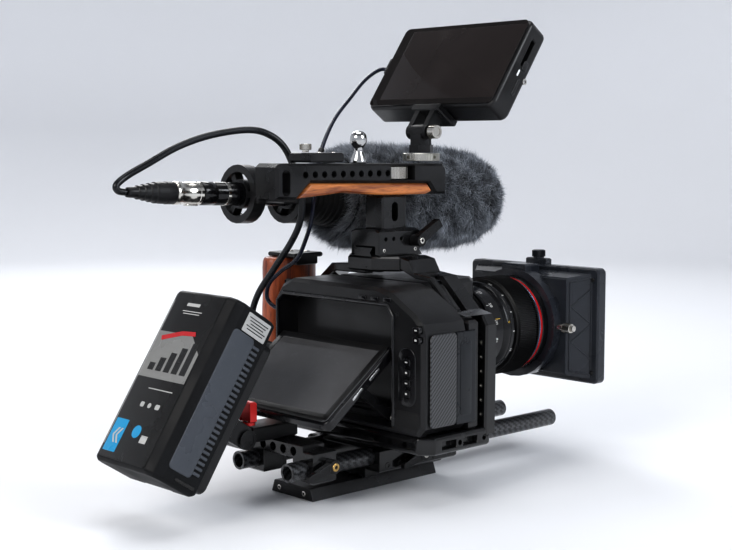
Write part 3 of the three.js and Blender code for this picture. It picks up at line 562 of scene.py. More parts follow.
def carbon(name, tow, centre, wrapped):
    material = bpy.data.materials.new(name)
    material.use_nodes = True
    new, link = material.node_tree.nodes.new, material.node_tree.links.new
    shader = material.node_tree.nodes["Principled BSDF"]
    shader.inputs["Metallic"].default_value = 0.35
    shader.inputs["Coat Weight"].default_value = 0.6
    shader.inputs["Coat Roughness"].default_value = 0.1
    place = new("ShaderNodeTexCoord")
    moved = new("ShaderNodeMapping")
    moved.inputs["Location"].default_value = [-c for c in centre]
    split = new("ShaderNodeSeparateXYZ")
    link(place.outputs["Object"], moved.inputs["Vector"])
    link(moved.outputs["Vector"], split.inputs["Vector"])
    weave = new("ShaderNodeGroup")
    weave.node_tree = carbon_twill
    weave.inputs["Tow"].default_value = tow
    if wrapped:
        turn = new("ShaderNodeMath")
        turn.operation = "ARCTAN2"
        link(split.outputs["Z"], turn.inputs[0])
        link(split.outputs["X"], turn.inputs[1])
        around = new("ShaderNodeMath")
        around.operation = "MULTIPLY"
        around.inputs[1].default_value = wrapped
        link(turn.outputs[0], around.inputs[0])
        link(around.outputs[0], weave.inputs["Across"])
        link(split.outputs["Y"], weave.inputs["Along"])
    else:
        link(split.outputs["Z"], weave.inputs["Across"])
        link(split.outputs["Y"], weave.inputs["Along"])
    # The warp tows are coloured lighter than the weft: painted sheen, standing for the light that the
    # lacquered fibres catch along one direction.
    tone = new("ShaderNodeMix")
    tone.data_type = "RGBA"
    tone.inputs["A"].default_value = (0.004, 0.004, 0.005, 1)
    tone.inputs["B"].default_value = (0.055, 0.057, 0.062, 1)
    link(weave.outputs["Warp"], tone.inputs["Factor"])
    link(tone.outputs["Result"], shader.inputs["Base Color"])
    rough = new("ShaderNodeMapRange")
    rough.inputs["To Min"].default_value = 0.45
    rough.inputs["To Max"].default_value = 0.28
    link(weave.outputs["Height"], rough.inputs["Value"])
    link(rough.outputs["Result"], shader.inputs["Roughness"])
    relief = new("ShaderNodeBump")
    relief.inputs["Strength"].default_value = 0.5
    relief.inputs["Distance"].default_value = 0.0002
    link(weave.outputs["Height"], relief.inputs["Height"])
    link(relief.outputs["Normal"], shader.inputs["Normal"])
    return material


for node, x in (("rod_right", -0.030), ("rod_left", 0.030)):
    settle(broken_edges(node, 0.0005), carbon(node + "_weave", 0.0018, (x, 0, 0.029), 0.0075), "camera",
           "carbon", node)

# ---- Cage ------------------------------------------------------------------------------------------
# Milled aluminium frame, bright black anodising: a floor plate, a leg with a shoulder on the right and
# a roof with a rail and side wall on the left. Rows of threaded holes take accessories.


def drilled(piece, holes):
    """Blind round holes cut in a piece: each is (centre in mm, axis letter, radius mm, depth mm)."""
    cutters = []
    for (x, y, z), axis, radius, depth in holes:
        bpy.ops.object.select_all(action="DESELECT")
        bpy.ops.mesh.primitive_cylinder_add(vertices=20, radius=radius / 1000, depth=2 * depth / 1000)
        cutter = bpy.context.object
        cutter.data.transform(Matrix.Translation((x / 1000, y / 1000, z / 1000)) @ AXES[axis])
        cutters.append(cutter)
    tool = join_all(cutters, "drill")
    only(piece)
    bore = piece.modifiers.new("bore", "BOOLEAN")
    bore.operation = "DIFFERENCE"
    bore.solver = "EXACT"
    bore.object = tool
    bpy.ops.object.modifier_apply(modifier="bore")
    bpy.data.objects.remove(tool)
    return done(piece)


cage_floor = broken_edges("cage_bottom_plate", 0.0009)
drilled(cage_floor, [((x, 27, 49), "y", 2.6, 4) for x in (-84, -68, -52, 52, 66)]
        + [((-108, y, 49), "x", 2.2, 3) for y in (-38, -10)])
cage_right = broken_edges("cage_right_frame", 0.0009, 20)
cage_left = broken_edges("cage_left_frame", 0.0009, 20)
drilled(cage_left, [((79, y, z), "x", 2.6, 3) for y in (4, -41) for z in (66, 80, 94, 108, 122, 136, 150)])
for made, node in ((cage_floor, "cage_bottom_plate"), (cage_right, "cage_right_frame"),
                   (cage_left, "cage_left_frame")):
    settle(made, gloss, "camera", "black_anodised", node)
screws("cage_leg_screws", "camera", nickel, 0.0021, "y",
       [(-101.5, -41.6, 66 + i * 11.5) for i in range(6)], 0.001)
screws("cage_roof_screws", "camera", worn_steel, 0.0026, "z",
       [(-5, -14, 188), (12, -14, 188), (24, -30, 188)])

# ---- Camera body -----------------------------------------------------------------------------------
# Two moulded shells of finely textured carbon-filled plastic, screwed together behind the mount.
# The back has a bay for the folding screen; the right end is the hand grip with a carbon-look pad.

moulded = surface("textured_black_plastic", (0.006, 0.006, 0.0068), (0.019, 0.019, 0.021), 0.4, 0.0,
                  grain=2300, depth=0.00009, spread=0.35, strength=0.7, coat=0.16)
smooth_black = surface("smooth_black_plastic", (0.004, 0.004, 0.005), (0.016, 0.016, 0.018), 0.22, 0.0,
                       grain=900, depth=0.00002, coat=0.3)
grip_rubber = surface("grip_rubber", (0.007, 0.007, 0.0075), (0.02, 0.02, 0.021), 0.6, 0.0, grain=3200,
                      depth=0.00012, strength=0.9)
pale_print = surface("pale_print", (0.6, 0.6, 0.58), (0.4, 0.4, 0.39), 0.5, 0.0, grain=900)
slate = surface("slate_plastic", (0.060, 0.067, 0.080), (0.10, 0.11, 0.125), 0.34, 0.1, grain=2000)

for node in ("body_rear_shell", "body_front_shell"):
    shell = broken_edges(node, 0.0016, 24, 3)
    done(shell, 50)
    settle(shell, moulded, "camera", "black_plastic", node)


def rounded_slab(name, centre, size, corner, edge, axis="y"):
    """A slab with round corners and a soft rim, lying across an axis; size is width, height, thickness."""
    bpy.ops.object.select_all(action="DESELECT")
    bpy.ops.mesh.primitive_cube_add(size=1, scale=(size[0] / 1000, size[1] / 1000, size[2] / 1000))
    slab = bpy.context.object
    slab.name = name
    bpy.ops.object.transform_apply(scale=True)
    for line in slab.data.edges:
        a, b = (slab.data.vertices[i].co for i in line.vertices)
        line.select = abs(a.z - b.z) > 1e-6
    for part in (slab.data.vertices, slab.data.polygons):
        for one in part:
            one.select = False
    edit(slab, "EDGE")
    bpy.ops.mesh.bevel(offset=corner / 1000, segments=6, affect="EDGES")
    select_faces(slab, lambda c, n: n.z > 0.9)
    bpy.ops.mesh.bevel(offset=edge / 1000, segments=3, affect="EDGES")
    bpy.ops.object.mode_set(mode="OBJECT")
    turn = {"y": Matrix.Rotation(math.pi, 4, "Z"), "-y": Matrix.Identity(4),
            "-x": Matrix.Rotation(-math.pi / 2, 4, "Z"), "x": Matrix.Rotation(math.pi / 2, 4, "Z"),
            "z": Matrix.Rotation(-math.pi / 2, 4, "X")}[axis] @ Matrix.Rotation(math.pi / 2, 4, "X")
    slab.data.transform(Matrix.Translation(Vector(centre) / 1000) @ turn)
    return done(slab)


# Hard features set into the shells: the button surround, the top-edge keys, a seam of fine studs, the
# rim of the screen's bay, pale marks on the buttons, and the sockets on the left with their flap.
surround = rounded_slab("button_surround", (-90, 30.3, 102.5), (19, 46, 1.4), 9, 0.7)
drilled(surround, [((-91, 30.6, 114.6 - 8.1 * i), "y", 3.9, 3) for i in range(4)])
settle(surround, smooth_black, "camera", "black_plastic")
keys = [rounded_slab("key", (-40 - 14 * i, 30.3, 160.2), (9, 3.6, 1.2), 1.6, 0.4) for i in range(3)]
settle(join_all(keys, "top_edge_keys"), smooth_black, "camera", "black_plastic")
seam = []
for i in range(34):
    bpy.ops.object.select_all(action="DESELECT")
    bpy.ops.mesh.primitive_uv_sphere_add(segments=8, ring_count=6, radius=0.00055,
                                         location=(-0.0762, 0.0301, (64 + i * 2.3) / 1000))
    stud = bpy.context.object
    bpy.ops.transform.resize(value=(1, 0.6, 1))
    seam.append(done(stud, 60))
settle(join_all(seam, "grip_seam_studs"), satin, "camera", "satin_alloy")

thumb_pad = rounded_slab("thumb_pad", (-90.5, 30.1, 69.5), (25, 13, 0.6), 3, 0.3)
settle(thumb_pad, grip_rubber, "camera", "rubber")
lip_line = [(-74.6, 63), (-74.6, 148.6), (-68.4, 156.4), (57.6, 156.4), (64.4, 149.6), (64.4, 63)]
lip = tube("bay_lip", [Vector((x / 1000, 0.0298, z / 1000)) for x, z in lip_line], 0.0017, 16)
settle(lip, smooth_black, "camera", "black_plastic")
for i, (node, x, z) in enumerate((("side_button_1", -91, 114.6), ("side_button_2", -91, 106.5),
                                  ("side_button_3", -91, 98.4), ("side_button_4", -91, 90.3),
                                  ("thumb_button_upper", -101, 140), ("thumb_button_lower", -101, 132.4))):
    mark = rounded_slab(node + "_mark", (x, 32.62, z),
                        (2.6 - 0.5 * (i % 2), 1.0 + 0.5 * (i % 2), 0.12), 0.4, 0.03)
    settle(mark, pale_print, node, "bright_metal")
screws("body_back_screws", "camera", worn_steel, 0.0019, "y", [(-78.6, 29.6, 150), (64.3, 29.4, 100)], 0.0009)

sockets = []
for y, z, wide in ((18, 106, 6.4), (18, 140, 5.2), (-14, 132, 5.6), (-14, 112, 5.6), (-14, 92, 5.6)):
    ring = turned("socket", [(wide * 0.55, 0), (wide * 0.9, 0), (wide, 0.5), (wide, 3.2), (wide * 0.55, 3.2)],
                  (0, 0, 0), 32)
    turn_about(ring, Matrix.Translation((0.0712, y / 1000, z / 1000)) @ Matrix.Rotation(math.pi / 2, 4, "Z"))
    sockets.append(ring)
settle(join_all(sockets, "side_sockets"), nickel, "camera", "bright_metal")
flap = rounded_slab("socket_flap", (68.4, 6, 88), (20, 30, 1.4), 3, 0.5, "x")
settle(flap, grip_rubber, "camera", "rubber")

pad = broken_edges("grip_pad", 0.0005, 30, 2)
settle(pad, carbon("pad_weave", 0.0009, (-0.107, 0, 0.1), 0), "camera", "leather_pad", "grip_pad")
door = broken_edges("card_door", 0.0006)
door_plastic = surface("door_plastic", (0.010, 0.0115, 0.014), (0.03, 0.033, 0.04), 0.34, 0.0, grain=1500)
settle(door, door_plastic, "card_door", "slate", "card_door")
latch_line = rounded_slab("card_door_inset", (-108.3, -16, 99), (12.5, 58, 0.5), 3, 0.2, "-x")
settle(latch_line, door_plastic, "card_door", "slate")
for node in ("side_button_1", "side_button_2", "side_button_3", "side_button_4",
             "thumb_button_upper", "thumb_button_lower"):
    settle(broken_edges(node, 0.0005), smooth_black, node, "black_plastic", node)
red_metal = surface("red_anodising", (0.62, 0.012, 0.016), (0.75, 0.07, 0.05), 0.26, 0.35, grain=1500,
                    coat=0.2)
record_key = broken_edges("record_button", 0.0006)
settle(record_key, red_metal, "record_button", "red_alloy", "record_button")

board_green = surface("solder_mask", (0.012, 0.09, 0.03), (0.03, 0.16, 0.06), 0.35, 0.0, grain=300,
                      depth=0.0001)
for node, material, body, slot in (
    ("sensor_board", board_green, "camera", "board"),
    ("fan_rotor", smooth_black, "fan_rotor", "black_plastic"),
    ("internal_battery", slate, "camera", "slate"),
):
    settle(broken_edges(node, 0.0003), material, body, slot, node)

# ---- Folding screen --------------------------------------------------------------------------------
# A glass touch panel in a black plastic frame, carried on two alloy arms so that its top edge runs
# down the bay as its bottom edge comes out. A matt film borders the glass, and its edge has two slots.


def glossy_glass(name, tint, film):
    material = surface(name, tint, tuple(min(1, 2.2 * c) for c in tint), 0.07, 0.0, grain=300,
                       depth=0.000004, spread=0.25, scratch=0.02)
    shader = material.node_tree.nodes["Principled BSDF"]
    shader.inputs["IOR"].default_value = 1.4
    shader.inputs["Thin Film Thickness"].default_value = film
    return material


panel_glass = glossy_glass("panel_glass", (0.075, 0.075, 0.078), 0)
settle(broken_edges("screen_arm", 0.0005), satin, "screen_arm", "satin_alloy", "screen_arm")
screws("screen_arm_pivots", "screen_arm", nickel, 0.0028, "-x", [(-66, 22, 66.5)], 0.0012)
frame_piece = broken_edges("screen_housing", 0.0007)
settle(frame_piece, smooth_black, "screen", "black_plastic", "screen_housing")
settle(broken_edges("screen_glass", 0.0002), panel_glass, "screen", "glass", "screen_glass")
bezel_black = surface("bezel_film", (0.004, 0.004, 0.0045), (0.012, 0.012, 0.013), 0.5, 0.0, grain=2600)
SCREEN = Matrix.Translation((-0.0045, 0.05683, 0.09256)) @ Matrix.Rotation(math.radians(53.2), 4, "X")
red_print = surface("red_print", (0.7, 0.02, 0.02), (0.75, 0.08, 0.06), 0.4, 0.0)
silver_trim = surface("silver_trim", (0.5, 0.5, 0.5), (0.3, 0.3, 0.3), 0.3, 0.9)
bezel = [rounded_slab("bezel", (0, 8.05, z), (127, 6, 0.2), 1.5, 0.08, "y") for z in (38.4, -37.4)]
bezel += [rounded_slab("bezel", (x, 8.05, 0), (6, 80, 0.2), 1.5, 0.08, "y") for x in (-60.4, 60.4)]
bezel.append(rounded_slab("bezel", (0, 8.05, -39.6), (120, 4, 0.2), 1, 0.08, "y"))
settle(turn_about(join_all(bezel, "screen_bezel"), SCREEN), bezel_black, "screen", "black_plastic")
slots = []
for z in (16, -6):
    slots.append(turn_about(rounded_slab("edge_slot", (0, 0, 0), (2.4, 13, 0.5), 1.1, 0.2, "-x"),
                            SCREEN @ Matrix.Translation((-0.0655, 0.0025, z / 1000))))
settle(join_all(slots, "screen_edge_slots"), silver_trim, "screen", "bright_metal")

# ---- Lens ------------------------------------------------------------------------------------------
# A zoom with an alloy barrel, a rubber-ribbed zoom ring behind and a toothed focus ring in front, a
# silver-blue band, a red anodised ring and a black front barrel. Its scales are engraved and filled.


LENS_Z = 0.116  # height of the lens axis, m
MOUNT_Y = -0.097  # the mount's face


def ribbed(piece, radius_over, thickness, depth, every=2):
    """Every second facet of a turned ring's widest band is drawn in, which leaves ribs along it."""
    def on_band(c, n):
        around = math.atan2(c.z - LENS_Z, c.x) / (2 * math.pi)
        return (math.hypot(c.x, c.z - LENS_Z) > radius_over and abs(n.y) < 0.3
                and round(around * facets + 0.5) % every == 0)
    facets = piece["facets"]
    select_faces(piece, on_band)
    bpy.ops.mesh.inset(thickness=thickness, depth=-depth, use_individual=True)
    return done(piece, 25)


def lens_ring(name, profile, steps=96, angle=30):
    """A lens piece from stations of (radius, distance in front of the mount face)."""
    profile = [(r, MOUNT_Y * 1000 - d) for r, d in profile]
    made = turned(name, profile, (0, 0, LENS_Z), steps, angle)
    made["facets"] = steps
    return made


lens_black = surface("lens_satin_black", (0.005, 0.005, 0.006), (0.02, 0.02, 0.023), 0.24, 0.25, grain=1300,
                     depth=0.00003, scratch=0.08)
rib_rubber = surface("rib_rubber", (0.009, 0.009, 0.0095), (0.03, 0.03, 0.03), 0.42, 0.0, grain=2400)
band_blue = surface("silver_blue_band", (0.22, 0.33, 0.55), (0.45, 0.52, 0.62), 0.28, 0.95, grain=2000)

barrel = lens_ring("lens_barrel_made", [
    (24, -8), (24.5, -7.6), (24.5, 0.4), (33.4, 0.4), (34, 1), (34, 7.4), (33, 7.8), (33, 26.6), (36.8, 26.8),
    (38, 27.4), (38.2, 29), (37.9, 29.3), (37.9, 29.9), (38.2, 30.2), (38.5, 43.8), (39, 44.2), (40.6, 46.6),
    (41, 47.4), (41, 50), (40.5, 50.4), (40.5, 51.2), (41, 51.6), (41, 55.4), (40.4, 56.2), (39, 56.6),
    (39, 93.8), (37, 94), (35, 93.8), (35, 20), (24, 12),
])
settle(barrel, lens_black, "camera", "black_plastic", "lens_barrel")

zoom = lens_ring("zoom_ring_made", [
    (33.7, 8), (36.8, 8), (37.4, 8.6), (37.4, 9.4), (37.7, 9.8), (37.7, 24), (37.4, 24.4), (37.4, 25.4),
    (36.8, 26), (33.7, 26),
], 144)
zoom = ribbed(zoom, 0.0372, 0.0001, 0.0012)
settle(zoom, rib_rubber, "zoom_ring", "rubber", "zoom_ring")

focus = lens_ring("focus_ring_made", [
    (39.5, 57), (42.4, 57), (42.9, 57.4), (42.9, 58.6), (44.6, 59.4), (44.6, 84), (43.2, 84.8), (43.2, 87.4),
    (42.8, 88), (39.5, 88),
], 168)
focus = ribbed(focus, 0.0442, 0.0001, 0.0016)
settle(focus, rib_rubber, "focus_ring", "rubber", "focus_ring")

band = lens_ring("silver_blue_band", [(39.05, 88.3), (42.2, 88.3), (42.6, 88.6), (42.6, 89.4), (39.2, 89.4)])
settle(band, band_blue, "camera", "bright_metal")
red_ring = lens_ring("red_ring", [(39.4, 89.6), (42.2, 89.6), (42.6, 90), (42.6, 92), (42.2, 92.4),
                                  (39.4, 92.4)])
settle(red_ring, red_metal, "camera", "red_alloy")
front = lens_ring("lens_front_made", [
    (39.4, 92.5), (42.3, 92.5), (43, 93.4), (43, 112), (42.6, 113), (42, 116), (38.6, 116), (38.5, 106),
    (38.2, 106), (38.2, 105), (37.6, 105), (37.6, 104.2), (36.4, 103.6), (35.4, 102.2), (35.3, 94.3),
    (39.2, 94.3),
])
settle(front, lens_black, "camera", "black_plastic", "lens_front_barrel")

coated = glossy_glass("coated_front_element", (0.010, 0.008, 0.022), 420)
front_element = lens_ring("front_element", [
    (0, 96.2), (34.4, 97.2), (34.4, 100.6), (32, 101.6), (28, 103.1), (24, 104.4), (18, 105.6), (12, 106.4),
    (6, 106.9), (0, 107),
], 96, 60)
settle(front_element, coated, "camera", "glass", "front_glass")
settle(lens_ring("moving_group", [(0, 38), (20, 40), (31, 42), (34.4, 42.4), (34.4, 61.6), (31, 62), (20, 58),
                                  (0, 56)], 64, 60), coated, "zoom_group", "glass", "zoom_group")
mount_ring = lens_ring("mount_ring", [(34.2, 0.4), (37, 0.4), (37.6, 1), (37.6, 4.6), (37, 5.2), (34.2, 5.2)])
settle(mount_ring, nickel, "camera", "bright_metal")

white_fill = surface("white_paint_fill", (0.75, 0.75, 0.72), (0.5, 0.5, 0.48), 0.55, 0.0, grain=900)
yellow_fill = surface("yellow_paint_fill", (0.75, 0.5, 0.04), (0.5, 0.32, 0.03), 0.55, 0.0, grain=900)


def on_lens(piece, radius, station, turn):
    """Wrap a small flat mark, drawn in XY, on the barrel: turn is measured from the top towards -X."""
    wrap = []
    for vertex in piece.data.vertices:
        angle = turn + vertex.co.x / radius
        r = radius + vertex.co.z
        wrap.append((-math.sin(angle) * r, MOUNT_Y - station - vertex.co.y, LENS_Z + math.cos(angle) * r))
    for vertex, place in zip(piece.data.vertices, wrap):
        vertex.co = place
    edit(piece)
    bpy.ops.mesh.select_all(action="SELECT")
    bpy.ops.mesh.normals_make_consistent(inside=False)
    return done(piece)


def numeral(text, size):
    bpy.ops.object.select_all(action="DESELECT")
    bpy.ops.object.text_add()
    figure = bpy.context.object
    figure.data.body = text
    figure.data.size = size
    figure.data.extrude = 0.00004
    figure.data.align_x = "CENTER"
    figure.data.resolution_u = 2
    bpy.ops.object.convert(target="MESH")
    return bpy.context.object


def tick(width, height):
    bpy.ops.object.select_all(action="DESELECT")
    bpy.ops.mesh.primitive_cube_add(size=1, scale=(width, height, 0.00012))
    bpy.ops.object.transform_apply(scale=True)
    edit(bpy.context.object)
    bpy.ops.mesh.select_all(action="SELECT")
    bpy.ops.mesh.bevel(offset=0.00004, segments=1, affect="EDGES")
    bpy.ops.object.mode_set(mode="OBJECT")
    return bpy.context.object


scale = []
for i, text in enumerate(("24", "28", "35", "50", "70", "85", "105")):
    scale.append(on_lens(numeral(text, 0.0046), 0.0383, 0.034, math.radians(-20 + 24 * i)))
    scale.append(on_lens(tick(0.0004, 0.0032), 0.0382, 0.0315, math.radians(-20 + 24 * i)))
for i, text in enumerate(("0.8", "1", "1.5", "2", "3", "5", "10")):
    scale.append(on_lens(numeral(text, 0.0034), 0.0411, 0.0532, math.radians(-30 + 24 * i)))
settle(join_all(scale, "lens_scale"), white_fill, "camera", "bright_metal")
marks = [on_lens(tick(0.0005, 0.006), 0.0384, 0.038, math.radians(72)),
         on_lens(numeral("ft", 0.003), 0.0411, 0.0478, math.radians(78))]
settle(join_all(marks, "lens_yellow_marks"), yellow_fill, "camera", "bright_metal")
bpy.ops.object.select_all(action="DESELECT")
bpy.ops.mesh.primitive_uv_sphere_add(segments=20, ring_count=10, radius=0.0017)
dot = bpy.context.object
dot.name = "mount_dot"
bpy.ops.transform.resize(value=(1, 1, 0.35))
done(dot, 60)
on_lens(dot, 0.0376, 0.003, math.radians(48))
settle(dot, red_print, "camera", "red_alloy")

# ---- Matte box -------------------------------------------------------------------------------------
# A moulded hood with a deep rim, flared sides with raised ribs and a clamp ring on the lens front.
# A knurled thumb screw in its right side tightens the ring, and a shoe on top takes a flag.

hood_black = surface("hood_plastic", (0.017, 0.0195, 0.0255), (0.04, 0.045, 0.055), 0.3, 0.0, grain=1500,
                     depth=0.00005, coat=0.12)
hood = broken_edges("matte_box", 0.0012, 20, 3)
settle(hood, hood_black, "camera", "black_plastic", "matte_box")


def strip(name, start, end, width, height, facing):
    """A raised rib between two points in mm, standing off the face that it lies on."""
    a, b = Vector(start) / 1000, Vector(end) / 1000
    along = (b - a).normalized()
    out = Vector(facing).normalized()
    side = out.cross(along).normalized()
    bpy.ops.object.select_all(action="DESELECT")
    bpy.ops.mesh.primitive_cube_add(size=1, scale=((b - a).length, width / 1000, height / 1000))
    rib = bpy.context.object
    rib.name = name
    bpy.ops.object.transform_apply(scale=True)
    select_faces(rib, lambda c, n: n.z > 0.9)
    bpy.ops.mesh.bevel(offset=min(width, height) / 2600, segments=2, affect="EDGES")
    bpy.ops.object.mode_set(mode="OBJECT")
    turn = Matrix((along, side, out)).transposed().to_4x4()
    rib.data.transform(Matrix.Translation((a + b) / 2) @ turn)
    return done(rib)


# Ribs frame each flared side and cross it in a zigzag; places are x, y and height from the lens axis,
# in millimetres.
MIDDLE = LENS_Z * 1000
SIDE_FRAME = [(69.2, -225, -44), (69.2, -225, 44), (57.2, -209.4, -40), (57.2, -209.4, 40)]
ZIGZAG = [(69.2, -225, 34), (57.6, -210, 18), (69.2, -225, 2), (57.6, -210, -14), (69.2, -225, -30)]
ribs = []
for side in (-1, 1):
    facing = (side, 0.75, 0)
    low_f, high_f, low_b, high_b = ((side * x, y, MIDDLE + z) for x, y, z in SIDE_FRAME)
    for a, b in ((low_f, high_f), (low_b, high_b), (low_f, low_b), (high_f, high_b)):
        ribs.append(strip("rib", a, b, 1.6, 1.0, facing))
    zig = [(side * x, y, MIDDLE + z) for x, y, z in ZIGZAG]
    for a, b in zip(zig, zig[1:]):
        ribs.append(strip("rib", a, b, 1.0, 0.7, facing))
settle(join_all(ribs, "hood_ribs"), hood_black, "camera", "black_plastic")
screws("hood_rim_screws", "camera", worn_steel, 0.002, "y",
       [(side * 70, -224.6, MIDDLE + 42 * up) for side in (-1, 1) for up in (-1, 1)], 0.0008)


def knurled_knob(name, radius, half, teeth, cut, recess=0.0):
    """A thumb wheel lying across Z: its rim is cut into teeth, and its upper face is dished when a recess is
    given.
    """
    bpy.ops.object.select_all(action="DESELECT")
    bpy.ops.mesh.primitive_cylinder_add(vertices=teeth * 2, radius=radius, depth=2 * half)
    knob = bpy.context.object
    knob.name = name
    select_faces(knob, lambda c, n: abs(n.z) > 0.9)
    bpy.ops.mesh.bevel(offset=half * 0.12, segments=1, affect="EDGES")
    bpy.ops.object.mode_set(mode="OBJECT")
    sides = [p for p in knob.data.polygons if abs(p.normal.z) < 0.2]
    order = {p.index: i for i, p in enumerate(
        sorted(sides, key=lambda p: math.atan2(p.center.y, p.center.x)))}
    chosen = {i for i, k in order.items() if k % 2 == 0}
    for part in (knob.data.vertices, knob.data.edges):
        for one in part:
            one.select = False
    for polygon in knob.data.polygons:
        polygon.select = polygon.index in chosen
    edit(knob)
    bpy.ops.mesh.inset(thickness=cut * 0.15, depth=-cut, use_individual=True)
    if recess:
        select_faces(knob, lambda c, n: (n.z > 0.99 and c.length > half * 0.9
                                         and math.hypot(c.x, c.y) < radius * 0.2))
        bpy.ops.mesh.inset(thickness=radius * 0.3)
        bpy.ops.mesh.extrude_region_move(TRANSFORM_OT_translate={"value": (0, 0, -recess)})
    bpy.ops.object.mode_set(mode="OBJECT")
    return knob


def put(piece, place, axis="z"):
    piece.data.transform(Matrix.Translation(Vector(place) / 1000) @ AXES[axis])
    return done(piece)


hood_knob = put(knurled_knob("hood_knob", 0.0044, 0.0045, 22, 0.0003, 0.0006), (-61.5, -201, 116), "-x")
hood_stem = put(knurled_knob("hood_knob_cap", 0.0028, 0.0013, 16, 0.0002), (-67.2, -201, 116), "-x")
hood_shaft = turned("shaft", [(0, -57.5), (3, -57.5), (3, -50.4), (2.6, -50.3), (0, -50.3)], (0, 0, 0), 24)
turn_about(hood_shaft, Matrix.Translation((0, -0.201, 0.116)) @ Matrix.Rotation(-math.pi / 2, 4, "Z"))
hood_screw = join_all([hood_knob, hood_stem, hood_shaft], "matte_box_thumb_screw")
settle(hood_screw, nickel, "matte_box_screw", "bright_metal", "matte_box_screw")

shoe_wheel = put(knurled_knob("shoe_wheel", 0.0056, 0.0032, 26, 0.0006, 0.0005), (0, -234, 177.6))
settle(shoe_wheel, hood_black, "camera", "black_plastic")

# ---- Top handle ------------------------------------------------------------------------------------
# A hollow-sided alloy beam with a strap loop and ten holes, an oiled hardwood grip under it and a steel
# wheel in its nose. It stands on a post whose clamp bites the cage's rail with a lever.


def wood(name, pale, dark, grain, ring_scale):
    """Oiled hardwood: long streaks along the grain, growth bands and fine dark pores."""
    material = bpy.data.materials.new(name)
    material.use_nodes = True
    new, link = material.node_tree.nodes.new, material.node_tree.links.new
    shader = material.node_tree.nodes["Principled BSDF"]
    shader.inputs["Coat Weight"].default_value = 0.25
    shader.inputs["Coat Roughness"].default_value = 0.25
    place = new("ShaderNodeTexCoord")
    laid = new("ShaderNodeMapping")
    laid.inputs["Scale"].default_value = grain
    link(place.outputs["Object"], laid.inputs["Vector"])
    streak = new("ShaderNodeTexNoise")
    streak.inputs["Scale"].default_value = 420
    streak.inputs["Detail"].default_value = 8
    streak.inputs["Distortion"].default_value = 0.6
    link(laid.outputs["Vector"], streak.inputs["Vector"])
    rings = new("ShaderNodeTexWave")
    rings.bands_direction = "DIAGONAL"
    rings.inputs["Scale"].default_value = ring_scale
    rings.inputs["Distortion"].default_value = 7
    rings.inputs["Detail"].default_value = 4
    rings.inputs["Detail Scale"].default_value = 1.6
    link(laid.outputs["Vector"], rings.inputs["Vector"])
    pores = new("ShaderNodeTexNoise")
    pores.inputs["Scale"].default_value = 1500
    pores.inputs["Detail"].default_value = 2
    link(laid.outputs["Vector"], pores.inputs["Vector"])
    both = new("ShaderNodeMath")
    both.operation = "MULTIPLY_ADD"
    both.inputs[1].default_value = 0.35
    link(rings.outputs["Fac"], both.inputs[0])
    link(streak.outputs["Fac"], both.inputs[2])
    ramp = new("ShaderNodeValToRGB")
    ramp.color_ramp.elements[0].position = 0.45
    ramp.color_ramp.elements[0].color = (*dark, 1)
    ramp.color_ramp.elements[1].position = 0.88
    ramp.color_ramp.elements[1].color = (*pale, 1)
    middle = ramp.color_ramp.elements.new(0.62)
    middle.color = (*[0.55 * a + 0.45 * b for a, b in zip(pale, dark)], 1)
    link(both.outputs[0], ramp.inputs["Fac"])
    spots = new("ShaderNodeMapRange")
    spots.inputs["From Min"].default_value = 0.58
    spots.inputs["From Max"].default_value = 0.7
    spots.inputs["To Max"].default_value = 0.55
    link(pores.outputs["Fac"], spots.inputs["Value"])
    mixed = new("ShaderNodeMix")
    mixed.data_type = "RGBA"
    mixed.inputs["B"].default_value = (*[0.3 * c for c in dark], 1)
    link(ramp.outputs["Color"], mixed.inputs["A"])
    link(spots.outputs["Result"], mixed.inputs["Factor"])
    link(mixed.outputs["Result"], shader.inputs["Base Color"])
    rough = new("ShaderNodeMapRange")
    rough.inputs["To Min"].default_value = 0.34
    rough.inputs["To Max"].default_value = 0.5
    link(streak.outputs["Fac"], rough.inputs["Value"])
    link(rough.outputs["Result"], shader.inputs["Roughness"])
    relief = new("ShaderNodeBump")
    relief.inputs["Strength"].default_value = 0.35
    relief.inputs["Distance"].default_value = 0.0002
    link(both.outputs[0], relief.inputs["Height"])
    link(relief.outputs["Normal"], shader.inputs["Normal"])
    return material


beam = broken_edges("handle_frame", 0.0008, 24, 2)
settle(beam, satin, "camera", "satin_alloy", "handle_frame")
grip = broken_edges("handle_wood", 0.0022, 12, 4)
done(grip, 60)
settle(grip, wood("orange_hardwood", (0.60, 0.21, 0.055), (0.20, 0.048, 0.011), (1, 0.09, 1), 46),
       "camera", "wood", "handle_wood")
screws("wood_screws", "camera", nickel, 0.0019, "-z", [(0, 58, 238.8), (0, -66, 238.6)], 0.0009)
wheel = put(knurled_knob("handle_wheel_made", 0.0134, 0.0055, 64, 0.0004, 0.0008), (0, -40.5, 256))
settle(wheel, nickel, "handle_wheel", "bright_metal", "handle_wheel")
plate_piece = broken_edges("quick_plate", 0.0006, 30, 3)
settle(plate_piece, satin, "camera", "satin_alloy", "quick_plate")
chrome = surface("polished_ball", (0.5, 0.5, 0.5), (0.3, 0.3, 0.3), 0.12, 1.0, grain=500, depth=0.000005)
ball = turned("ball_stud_made", [(0, -18.6), (6.7, -18.6), (6.6, -16.2), (3.8, -10.6), (3.6, -7.4),
                                 (4.4, -6.2), (5.8, -4.4), (6.7, -2.4), (7.0, 0), (6.7, 2.4), (5.7, 4.6),
                                 (3.8, 6.2), (1.8, 6.9), (0, 7.1)], (0, 0, 0), 40, 50)
turn_about(ball, Matrix.Translation((0, -0.003, 0.2835)) @ Matrix.Rotation(math.pi / 2, 4, "X"))
settle(ball, chrome, "camera", "bright_metal")
quick_knob = put(knurled_knob("quick_plate_knob", 0.0044, 0.0024, 26, 0.0003, 0.0005), (0, 54, 277.6))
quick_shaft = turned("shaft", [(0, 273.4), (2.6, 273.4), (2.8, 275), (2.8, 276), (0, 276)], (0, 0, 0), 24)
